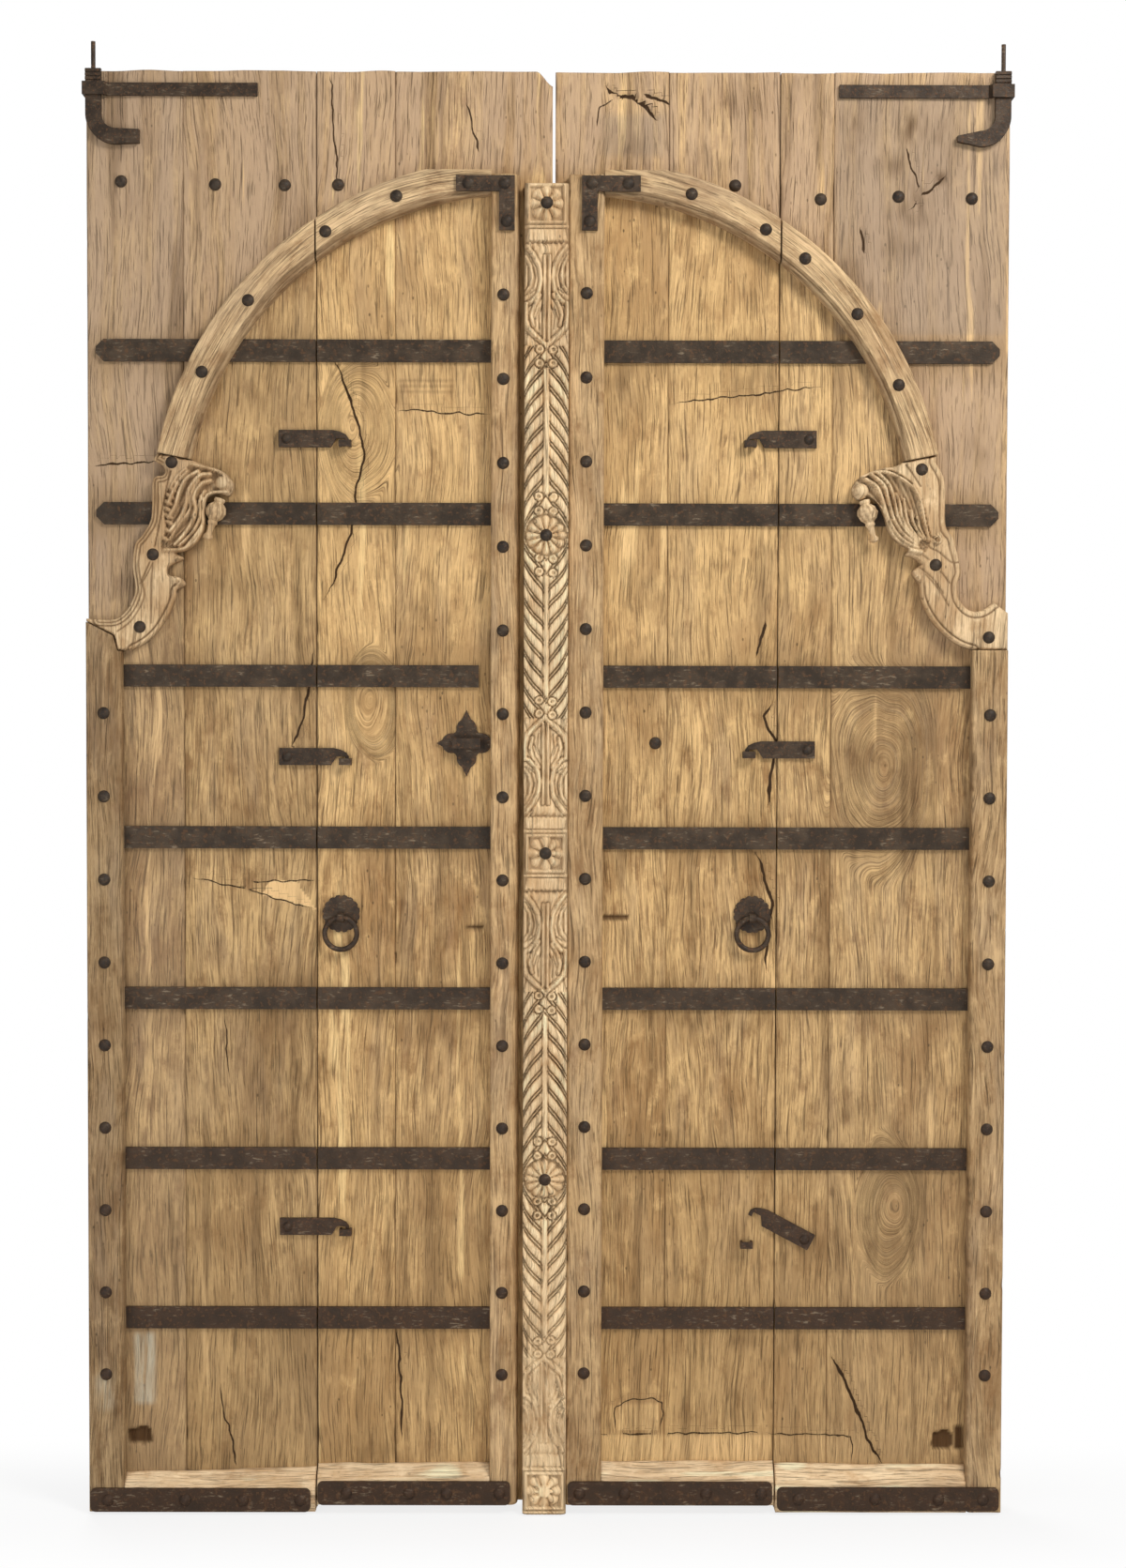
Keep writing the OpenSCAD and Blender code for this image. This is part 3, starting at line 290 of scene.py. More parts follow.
def wood(name, light, mid, dark, grain, painted, greyed, seed, outside=None):
    """Weathered teak: flowing grain, stains, open checks and specks.

    grain is the way it runs, painted reads the wear, stains and painted shade that the mesh keeps, and
    outside is the colour of planks above the arch, which also brings painted shadow and stain along the
    straps and painted light inside it.
    """
    g = Graph(name)
    x, y, z = g.place()
    if grain == "arc" or outside:
        side = g.sub(g.math("ABSOLUTE", x), ARCH_X / 1000)
        rise = g.sub(z, ARCH_Z / 1000)
    if grain == "z":
        across, along = x, z
    elif grain == "x":
        across, along = z, x
    else:
        across = g.add(g.length(side, rise), g.mul(g.math("SIGN", x), 0.7))
        along = g.mul(g.math("ARCTAN2", rise, side), 0.62)
    depth = g.mul(y, 0.6)
    slow = g.noise(g.vector(g.mul(g.add(across, seed), 3.4), depth, g.mul(along, 1.15)), 1.0, 3.0, 0.5)
    bent = g.add(across, g.mul(g.sub(slow, 0.5), 0.13))
    if outside:
        for kx, kz, reach in KNOTS:
            r = g.length(g.sub(x, kx), g.mul(g.sub(z, kz), 0.5))
            r = g.add(r, g.mul(g.sub(slow, 0.5), 0.16))
            pull = g.ramp(r, 1.7 * reach, 0.2 * reach, 0.0, 0.8)
            bent = g.add(g.mul(bent, g.sub(1.0, pull)), g.mul(r, pull))
    across = g.add(across, seed)
    bent = g.add(g.add(bent, seed), depth)

    def fibre(line, wide, long, detail, rough, layer=0.0):
        return g.noise(g.vector(g.mul(line, wide), layer, g.mul(along, long)), 1.0, detail, rough)

    fine = fibre(bent, 330.0, 14.0, 5.0, 0.68)
    mid_grain = fibre(bent, 130.0, 5.5, 6.0, 0.7)
    broad = fibre(bent, 9.0, 1.1, 3.0, 0.5)
    figure = fibre(across, 5.2, 0.95, 2.0, 0.4, depth)
    rings = g.math("PINGPONG", g.mul(figure, 17.0), 0.5)
    stain = fibre(across, 5.0, 2.4, 6.0, 0.62, depth)
    streaks = fibre(bent, 42.0, 1.6, 4.0, 0.6, 5.7)
    check = g.ramp(fibre(bent, 300.0, 8.0, 3.0, 0.5, 3.1), 0.58, 0.7)
    pores = fibre(bent, 520.0, 24.0, 2.0, 0.5, 1.3)
    pore = g.ramp(pores, 0.58, 0.68)
    specks = g.cells(g.vector(g.mul(across, 60.0), depth, g.mul(along, 34.0)))
    speck = g.mul(g.ramp(specks, 0.13, 0.07), g.ramp(stain, 0.5, 0.62))
    tone = g.add(g.mul(mid_grain, 0.48), g.mul(fine, 0.52))
    tone = g.add(tone, g.mul(g.sub(rings, 0.25), 0.06))
    tone = g.ramp(tone, 0.38, 0.61)
    colour = g.mix(tone, dark, light)
    colour = g.mix(g.ramp(broad, 0.34, 0.7, 0.0, 0.45), colour, mid)
    brown = tint(dark, 0.95, 0.82, 0.68)
    colour = g.mix(g.ramp(streaks, 0.55, 0.74, 0.0, 0.36), colour, brown)
    colour = g.mix(g.ramp(stain, 0.42, 0.7, 0.0, 0.78), colour, brown)
    mottle = fibre(across, 26.0, 15.0, 8.0, 0.66, depth)
    colour = g.mix(g.ramp(mottle, 0.49, 0.68, 0.0, 0.78), colour, brown)
    colour = g.mix(g.ramp(mottle, 0.47, 0.32, 0.0, 0.6), colour, light)
    wash = fibre(bent, 16.0, 3.0, 5.0, 0.62, 7.0)
    colour = g.mix(g.ramp(wash, 0.44, 0.68, 0.0, greyed), colour, GREY_WASH)
    if outside:
        far = g.length(side, g.math("MAXIMUM", rise, 0.0))
        above = g.mul(g.ramp(far, 0.6, 0.66), g.ramp(z, 1.45, 1.75))
        weather = g.mul(above, g.ramp(streaks, 0.3, 0.62, 0.35, 0.85))
        colour = g.mix(weather, colour, outside)
        # painted shadow under and beside the straps, with some staining near them
        row = g.math("PINGPONG", g.add(z, 10 * STRAP_PITCH - STRAP_ROW), STRAP_PITCH / 2)
        strap_shadow_and_stain = g.mul(g.ramp(row, 0.075, 0.018), g.ramp(stain, 0.34, 0.6, 0.1, 0.62))
        strap_shadow_and_stain = g.mul(strap_shadow_and_stain, g.ramp(z, 2.2, 2.1))
        colour = g.mix(strap_shadow_and_stain, colour, tint(mid, 0.5, 0.47, 0.46))
        # painted light inside the arch, along with paler wood there
        lit_and_paler_inside = g.mul(g.ramp(far, 0.6, 0.56), g.ramp(z, 1.25, 1.75))
        colour = g.mix(g.mul(lit_and_paler_inside, 0.22), colour, light)
        foot = g.mul(g.ramp(z, 1.05, 0.15, 0.0, 0.6), g.ramp(wash, 0.35, 0.6, 0.4, 1.0))
        colour = g.mix(foot, colour, tint(mid, 0.74, 0.72, 0.72))
    colour = g.mix(g.mul(pore, 0.5), colour, tint(dark, 0.38))
    colour = g.mix(g.mul(check, 0.5), colour, tint(dark, 0.3))
    colour = g.mix(g.mul(speck, 0.75), colour, tint(dark, 0.32))
    height = g.add(g.mul(fine, 0.7), g.mul(mid_grain, 0.9))
    height = g.sub(height, g.mul(check, 0.9))
    height = g.sub(height, g.mul(pore, 0.35))
    if painted:
        gap = g.mul(g.math("ABSOLUTE", g.sub(g.attribute("split"), 0.5)), 2 * SPLIT_REACH)
        gap = g.add(gap, g.mul(g.sub(pores, 0.5), 2.4))
        open_split = g.mul(g.sub(g.mul(g.attribute("split_w"), SPLIT_REACH), gap), 1.2, True)
        # paler marks: raw wood on the boards, and painted highlight on raised carving
        pale_wear_and_highlight = g.ramp(g.add(g.attribute("pale"), g.mul(g.sub(fine, 0.5), 0.9)), 0.25, 0.85)
        colour = g.mix(pale_wear_and_highlight, colour, tuple(min(c, 0.9) for c in tint(light, 1.15, 1.15, 1.2)))
        colour = g.mix(g.attribute("dull"), colour, DULL)
        chalk = g.mul(g.attribute("chalk"), g.ramp(mid_grain, 0.4, 0.54, 0.25, 1.0))
        colour = g.mix(chalk, colour, CHALK)
        # the mesh's dark mark: stains, dark joints and chipped edges, with painted shade in recesses,
        # holes, grooves and cracks
        shade_stain_tone = tint(dark, 0.34, 0.28, 0.22)
        colour = g.mix(g.attribute("shade_and_stain"), colour, shade_stain_tone)
        # painted shade inside open cracks
        colour = g.mix(open_split, colour, tint(shade_stain_tone, 0.5))
    g.bsdf.inputs["Specular IOR Level"].default_value = 0.22
    rough = g.ramp(tone, 0.0, 1.0, 0.86, 0.66)
    return g.surface(colour, rough, g.bump(height, 0.85, 0.0024))


def iron(name, dark, brown, rust, dust, scale=1.0):
    """Old forged iron: dark skin, brown bloom, rust specks, rubbed dust and a hammered surface."""
    g = Graph(name)
    x, y, z = g.place()
    where = g.vector(x, y, z)
    blot = g.noise(where, 26.0 * scale, 5.0, 0.62)
    fleck = g.noise(where, 130.0 * scale, 4.0, 0.6)
    pits = g.noise(where, 420.0 * scale, 3.0, 0.6)
    stretched = g.vector(g.mul(x, 60.0), g.mul(y, 60.0), g.mul(z, 260.0))
    scratch = g.noise(stretched, 1.0, 3.0, 0.6, 0.4)
    colour = g.mix(g.ramp(blot, 0.36, 0.66), dark, brown)
    low = g.mul(g.ramp(z, 1.3, 0.1, 0.0, 0.75), g.ramp(blot, 0.3, 0.6, 0.35, 1.0))
    colour = g.mix(low, colour, LOW_RUST)
    colour = g.mix(g.mul(g.ramp(fleck, 0.52, 0.68), 0.65), colour, rust)
    rubbed = g.mul(g.ramp(scratch, 0.56, 0.7), g.ramp(blot, 0.44, 0.6))
    colour = g.mix(g.mul(rubbed, dust), colour, DUST)
    g.bsdf.inputs["Metallic"].default_value = 0.25
    g.bsdf.inputs["Specular IOR Level"].default_value = 0.3
    rough = g.ramp(fleck, 0.3, 0.7, 0.42, 0.72)
    height = g.add(blot, g.add(g.mul(fleck, 0.5), g.mul(pits, 0.25)))
    return g.surface(colour, rough, g.bump(height, 0.7, 0.0016))


def paint_node(name, mat):
    mesh = nodes[name].data
    mesh.materials.clear()
    mesh.materials.append(mat)


# Smooth seeded noise for the shapes
def lattice(seed, x, z, step_x, step_z):
    """Smooth noise from -1 to 1 on a lattice with the given steps, in millimetres."""
    table = np.random.RandomState(seed).uniform(-1, 1, (257, 257))
    u, v = x / step_x, z / step_z
    i, j = np.floor(u).astype(int), np.floor(v).astype(int)
    fu, fv = u - i, v - j
    fu, fv = fu * fu * (3 - 2 * fu), fv * fv * (3 - 2 * fv)
    i, j = i % 256, j % 256
    a = table[i, j] * (1 - fu) + table[i + 1, j] * fu
    b = table[i, j + 1] * (1 - fu) + table[i + 1, j + 1] * fu
    return a * (1 - fv) + b * fv


def line_distance(x, z, points):
    """Distance of every grid point from a bent line, how far along, which side, closest point."""
    p = np.asarray(points, float)
    lengths = np.hypot(*(p[1:] - p[:-1]).T)
    total = lengths.sum()
    best, where, side = np.full(x.shape, 1e9), np.zeros(x.shape), np.ones(x.shape)
    px, pz = x.copy(), z.copy()
    run = 0
    for a, b, length in zip(p[:-1], p[1:], lengths):
        if length < 1e-9:
            continue
        dx, dz = b - a
        t = unit(((x - a[0]) * dx + (z - a[1]) * dz) / length ** 2)
        d = np.hypot(x - a[0] - t * dx, z - a[1] - t * dz)
        near = d < best
        best = np.where(near, d, best)
        where = np.where(near, (run + t * length) / total, where)
        side = np.where(near, np.where(dx * (z - a[1]) - dz * (x - a[0]) < 0, -1, 1), side)
        px, pz = np.where(near, a[0] + t * dx, px), np.where(near, a[1] + t * dz, pz)
        run += length
    return best, where, side, px, pz


def unit(value):
    return np.clip(value, 0, 1)


def grid(across, along):
    return np.meshgrid(across, along, indexing="ij")


def step(value, low, high):
    t = unit((value - low) / (high - low))
    return t * t * (3 - 2 * t)


def dome(e):
    """Height of a half circle of radius 1 at a distance e from its middle."""
    return np.sqrt(unit(1 - e ** 2))


# Planks
CRACKS = [  # bent lines on the planks' faces, width and depth in millimetres
    ([(-393, 2113), (-359, 2032), (-329, 1931), (-346, 1864), (-351, 1796), (-386, 1695), (-411, 1652)],
     5, 6),
    ([(-421, 1576), (-444, 1440), (-465, 1389)], 5, 6),
    ([(-148, 2555), (-135, 2502), (-123, 2460)], 4, 4),
    ([(-822, 1902), (-752, 1907), (-706, 1911)], 4, 4),
    ([(-652, 1161), (-547, 1137), (-414, 1098)], 3.5, 3),
    ([(-543, 1151), (-414, 1154)], 3, 2),
    ([(-585, 911), (-577, 791)], 3, 3),
    ([(-274, 2003), (-103, 1996)], 3.5, 3),
    ([(-391, 2609), (-386, 2520), (-378, 2408)], 4, 4),
    ([(101, 2589), (116, 2568), (149, 2565), (173, 2548), (197, 2521)], 8, 7),
    ([(168, 2569), (194, 2561), (217, 2550)], 6, 6),
    ([(119, 2561), (89, 2548), (84, 2508)], 3.5, 3),
    ([(641, 2482), (653, 2442), (675, 2391), (645, 2360)], 4, 4),
    ([(672, 2388), (718, 2428)], 5, 5),
    ([(562, 2333), (568, 2287)], 5, 5),
    ([(-272, 341), (-269, 281), (-263, 197), (-261, 122)], 4.6, 5),
    ([(-595, 232), (-588, 172), (-573, 127), (-564, 72)], 3.5, 3),
    ([(217, 2016), (350, 2030), (501, 2050)], 3.5, 3),
    ([(413, 1484), (393, 1455), (413, 1407), (401, 1285)], 6, 6),
    ([(379, 1211), (409, 1117), (398, 981)], 6, 6),
    ([(395, 1628), (379, 1557)], 5, 5),
    ([(517, 287), (551, 233), (574, 177), (592, 127), (620, 78)], 6, 7),
    ([(77, 138), (420, 141)], 3.2, 3),
    ([(400, 141), (561, 136), (562, 71)], 3.2, 3),
    ([(128, 132), (128, 190), (153, 202), (193, 204), (213, 198), (210, 132)], 3, 2),
]
PLANKS = {  # left edge, right edge, foot, dullness; the fold joints show as fine lines
    "left_plank_a": (-HALF_W, -657, OUTER_FOOT, 0.22),
    "left_plank_b": (-657, -417.6, OUTER_FOOT, 0.05),
    "left_plank_c": (-416.4, -275, INNER_FOOT, 0),
    "left_plank_d": (-275, 7.5, INNER_FOOT, 0.02),
    "right_plank_a": (12.5, 217, INNER_FOOT, 0),
    "right_plank_b": (217, 416.4, INNER_FOOT, 0),
    "right_plank_c": (417.6, 514, OUTER_FOOT, 0.04),
    "right_plank_d": (514, HALF_W, OUTER_FOOT, 0.1),
}
SLOTS = [  # iron stubs in the planks: left, right, low, high
    (-148, -113, 1063, 1075), (101, 151, 1082, 1094), (747, 767, 110, 156),
]
HOLES = [(-742, 134, 23, 15), (726, 127, 18, 18)]  # middle, half width, half height
BLOTS = [  # soft brown stains: middle, half width, half height, strength
    (134, 2033, 55, 95, 0.42), (366, 2047, 45, 40, 0.3), (-482, 809, 130, 95, 0.28),
    (-192, 877, 80, 45, 0.3), (295, 898, 110, 42, 0.38), (181, 1687, 40, 60, 0.25),
    (-244, 1627, 60, 90, 0.2), (-566, 1694, 70, 50, 0.22), (655, 2512, 34, 40, 0.5),
    (656, 2370, 50, 45, 0.4), (143, 2484, 50, 30, 0.3), (704, 2426, 22, 22, 0.5),
    (712, 1178, 60, 40, 0.22), (-688, 533, 60, 110, 0.25), (-174, 482, 60, 60, 0.22),
    (134, 551, 50, 90, 0.26), (545, 723, 90, 60, 0.24), (478, 482, 70, 60, 0.26), (201, 946, 60, 40, 0.3),
    (-498, 2015, 70, 40, 0.22), (349, 310, 45, 40, 0.36), (460, 305, 45, 26, 0.4),
    (354, 193, 40, 60, 0.3), (-538, 212, 40, 36, 0.3), (-321, 117, 70, 50, 0.34),
    (-435, 271, 80, 90, 0.22), (557, 2503, 45, 60, 0.34), (617, 2445, 40, 30, 0.36),
    (718, 2487, 40, 60, 0.3), (542, 2252, 40, 70, 0.3), (635, 2302, 60, 40, 0.26),
    (346, 2553, 60, 50, 0.26), (296, 2452, 50, 40, 0.22), (447, 2586, 40, 40, 0.26),
    (144, 2469, 50, 30, 0.26), (774, 1933, 40, 60, 0.22), (199, 1390, 60, 60, 0.2),
    (591, 1373, 60, 50, 0.3), (-430, 2317, 60, 60, 0.22), (-753, 1694, 50, 60, 0.26),
]
PALE_BOXES = [  # strength; left, right, low, high, softness
    (0.5, (98, 416, 60, 139)), (0.36, (415, 561, 60, 138)), (0.45, (128, 211, 142, 200, 5)),
]
DULL_BOXES = [(0.4, (84, 220, 2449, 2545, 22)), (0.42, (514, 832, 2135, 2580, 12))]
PAINT_BOX, NOTCH_BOX = (-757, -708, 187, 331, 14), (-273, -165, 2022, 2064, 8)
PLANK_ROWS, EDGE_COLUMNS = 520, (0.9, 2.8)


def slab(name, X, Z, front, back, marks, back_ease=0):
    """A board from a grid: carved front, four edges and a flat back."""
    nx, nz = X.shape
    count = nx * nz
    faces_front = np.stack([X.ravel(), FACE_Y - front.ravel(), Z.ravel()], 1)
    index = np.arange(count).reshape(nx, nz)
    loop = np.concatenate([index[:, 0], index[-1, 1:], index[-2::-1, -1], index[0, -2:0:-1]])
    rear = faces_front[loop].copy()
    rear[:, 1] = FACE_Y - back
    rear[:, 0] = np.clip(rear[:, 0], X.min() + back_ease, X.max() - back_ease)
    quads = np.stack([index[:-1, :-1], index[1:, :-1], index[1:, 1:], index[:-1, 1:]], -1).reshape(-1, 4)
    k = np.arange(len(loop))
    after = (k + 1) % len(loop)
    walls = np.stack([loop, count + k, count + after, loop[after]], 1)
    faces = quads.tolist() + walls.tolist() + [list(range(count + len(loop) - 1, count - 1, -1))]
    values = {key: np.concatenate([v.ravel(), np.zeros(len(loop))]) for key, v in marks.items()}
    return solid(name, np.concatenate([faces_front, rear]), faces, len(quads), values)


def solid(name, points, faces, smooth_faces, marks):
    mesh = bpy.data.meshes.new(name)
    mesh.from_pydata((points / 1000).tolist(), [], faces)
    for key, value in marks.items():
        data = unit(value).astype(np.float32)
        mesh.attributes.new(key, "FLOAT", "POINT").data.foreach_set("value", data)
    smooth = np.zeros(len(mesh.polygons), bool)
    smooth[:smooth_faces] = True
    mesh.polygons.foreach_set("use_smooth", smooth)
    return new_object(name, mesh)


def box_mask(X, Z, x0, x1, z0, z1, soft=3):
    """1 inside a rectangle and 0 outside it, with soft edges."""
    wide = step(X, x0, x0 + soft) * step(-X, -x1, soft - x1)
    return wide * step(Z, z0, z0 + soft) * step(-Z, -z1, soft - z1)


def plank_mesh(name, x0, x1, foot, tone, seed):
    """A plank with a worn face: rounded edges, long hollows, cracks and an uneven top."""
    nx = max(int((x1 - x0) / 4), 26)
    near, far = EDGE_COLUMNS
    columns = np.concatenate([[x0, x0 + near], np.linspace(x0 + far, x1 - far, nx - 3), [x1 - near, x1]])
    X, Z = grid(columns, np.linspace(foot, LEAF_TOP, PLANK_ROWS + 1))
    drop = 0.7 + 0.7 * lattice(seed, X, Z, 70, 420) + 0.4 * lattice(seed + 1, X, Z, 9, 160)
    drop += 0.3 * lattice(seed + 2, X, Z, 28, 60)
    rim = np.minimum(X - x0, x1 - X)
    drop += 1.8 * np.exp(-rim / 1.4) * (1 + 0.6 * lattice(seed + 3, X, Z, 400, 70))
    chip = step(lattice(seed + 4, X * 0 + seed, Z, 50, 46), 0.62, 0.92)
    drop += 3 * chip * np.exp(-rim / 5)
    seam = 0.2 + 0.8 * step(lattice(seed + 12, X * 0 + seed, Z, 50, 140), -0.5, 0.5)
    shade_and_stain = 0.9 * seam * np.exp(-rim / 1.1) + 0.5 * chip * np.exp(-rim / 6)
    dull = np.full_like(X, tone)
    split, split_w = np.zeros_like(X), np.zeros_like(X)
    ragged_x = X + 2.6 * lattice(501, X, Z, 16, 22) + 1.6 * lattice(502, X, Z, 8, 11)
    ragged_z = Z + 2.6 * lattice(503, X, Z, 16, 22) + 1.6 * lattice(504, X, Z, 8, 11)
    for points, width, depth in CRACKS:
        d, t, side = line_distance(ragged_x, ragged_z, points)[:3]
        half = 0.5 * width * unit(np.minimum(t, 1 - t) * 7)
        close = d < SPLIT_REACH
        split = np.where(close, 0.5 + side * d / (2 * SPLIT_REACH), split)
        split_w = np.where(close, half / SPLIT_REACH, split_w)
        if width >= 4.5:
            drop += depth * unit(1 - d / (half + 2.5)) * (half > 0.3)
    top_wear = 1.5 + 1.5 * lattice(seed + 6, X, X * 0, 60, 50)
    if name == "left_plank_d":  # its corner has broken away
        top_wear += 26 * step(X, -22, 8)
    patch = (np.abs(X + 478) < 62 * (1 - (Z - 1098) / 90)) & (Z < 1154)
    pale = 0.8 * (patch & (Z > 1098 + (X + 414) * -0.28))
    ragged = 0.5 + 0.5 * lattice(seed + 11, X, Z, 7, 40)
    chalk = (0.45 + 0.55 * ragged) * box_mask(X, Z, *PAINT_BOX)
    for share, box in PALE_BOXES:
        pale = np.maximum(pale, share * box_mask(X, Z, *box))
    for share, box in DULL_BOXES:
        dull = np.maximum(dull, share * box_mask(X, Z, *box))
    uneven = 0.7 + 0.6 * lattice(505, X, Z, 11, 26)
    for cx, cz, rx, rz, share in BLOTS:
        e = ((X - cx) / rx) ** 2 + ((Z - cz) / rz) ** 2
        shade_and_stain = np.maximum(shade_and_stain, 1.35 * share * np.exp(-1.6 * e) * uneven)
    # holes are sunk and filled with painted shade
    for cx, cz, rx, rz in HOLES:
        e = ((ragged_x - cx) / rx) ** 4 + ((ragged_z - cz) / rz) ** 4
        cut = step(e, 1.3, 0.7)
        shade_and_stain = np.maximum(shade_and_stain, cut)
        drop += 8 * cut
    for slot in SLOTS:
        cut = box_mask(X, Z, *slot)
        shade_and_stain = np.maximum(shade_and_stain, cut)
        drop += 4 * cut
    notches = np.abs(np.mod(Z - 2025, 9) - 4.5) < 2
    shade_and_stain = np.maximum(shade_and_stain, 0.3 * notches * box_mask(X, Z, *NOTCH_BOX))
    bruise = step(lattice(seed + 7, X, Z, 24, 420) + 0.6 * lattice(seed + 8, X, Z, 9, 170), 0.45, 1.15)
    shade_and_stain = np.maximum(shade_and_stain, 0.4 * bruise)
    raw = step(lattice(seed + 9, X, Z, 26, 360) + 0.6 * lattice(seed + 10, X, Z, 9, 120), 0.55, 1.2)
    pale = np.maximum(pale, 0.6 * raw)
    Z2 = Z - top_wear * step(Z, LEAF_TOP - 70, LEAF_TOP)
    marks = {"shade_and_stain": shade_and_stain, "pale": pale, "dull": dull, "chalk": chalk, "split": split, "split_w": split_w}
    return slab(name + "_worn", X, Z2, -np.clip(drop, 0, 9), -PLANK_T, marks, 1)


# The cover strip's carving
def bump_line(a, v, points, width, height):
    d = line_distance(a, v, points)[0]
    return height * dome(d / width)


def groove(a, v, points, width, depth):
    return depth * np.exp(-(line_distance(a, v, points)[0] / width) ** 2)


def ring(a, v, x, y, r, width, height):
    d = np.hypot(a - x, v - y)
    return height * np.maximum(dome((d - r) / width), 0.9 * dome(d / (0.42 * r)))


def flower(a, v, petals, reach, height):
    r = np.hypot(a, v)
    lobe = np.abs(np.cos(0.5 * petals * np.arctan2(v, a)))
    edge = reach * (0.88 + 0.12 * lobe)
    round_out = np.sqrt(unit(1 - (np.clip(r - 8, 0, 99) / (edge - 8)) ** 4))
    body = height * round_out * (0.1 + 0.9 * lobe ** 0.55) * (r < edge)
    return np.where(r < 10.5, 10, body)


CALYX = [  # raised lines of the leaf cup, across and down from the block, with width and height
    ([(36, 75), (24, 90), (13, 110), (10, 134), (15, 159), (28, 175), (38, 179)], 4.4, 8.6),
    ([(38, 179), (39, 199), (34, 220), (20, 234), (5, 246), (2, 254)], 5, 8.8),
    ([(11, 161), (22, 179), (28, 199), (24, 216)], 3.2, 7),
    ([(4.5, 92), (4.5, 240)], 2.8, 7.4),
    ([(38, 92), (29, 108), (26, 128), (30, 146), (38, 158)], 3, 7),
]
VEINS = [  # sunk lines of the leaf cup
    [(24, 112), (20, 128), (25, 150)], [(33, 112), (33, 142)], [(20, 151), (30, 159)],
    [(8, 180), (15, 199), (13, 222)], [(14, 186), (21, 205)], [(34, 206), (33, 228), (38, 246)],
    [(18, 98), (10, 112)],
]
COVER_HALF, COVER_X, COVER_FOOT, COVER_TOP, COVER_H = 39.5, -2.5, 2, 2403, 31
BLOCKS, BLOOMS = (2366, 1206, 46), (1776, 616)  # heights of rosette blocks and round flowers
RUN, SHORT_RUN = 590, 570  # from a block down and up to a flower


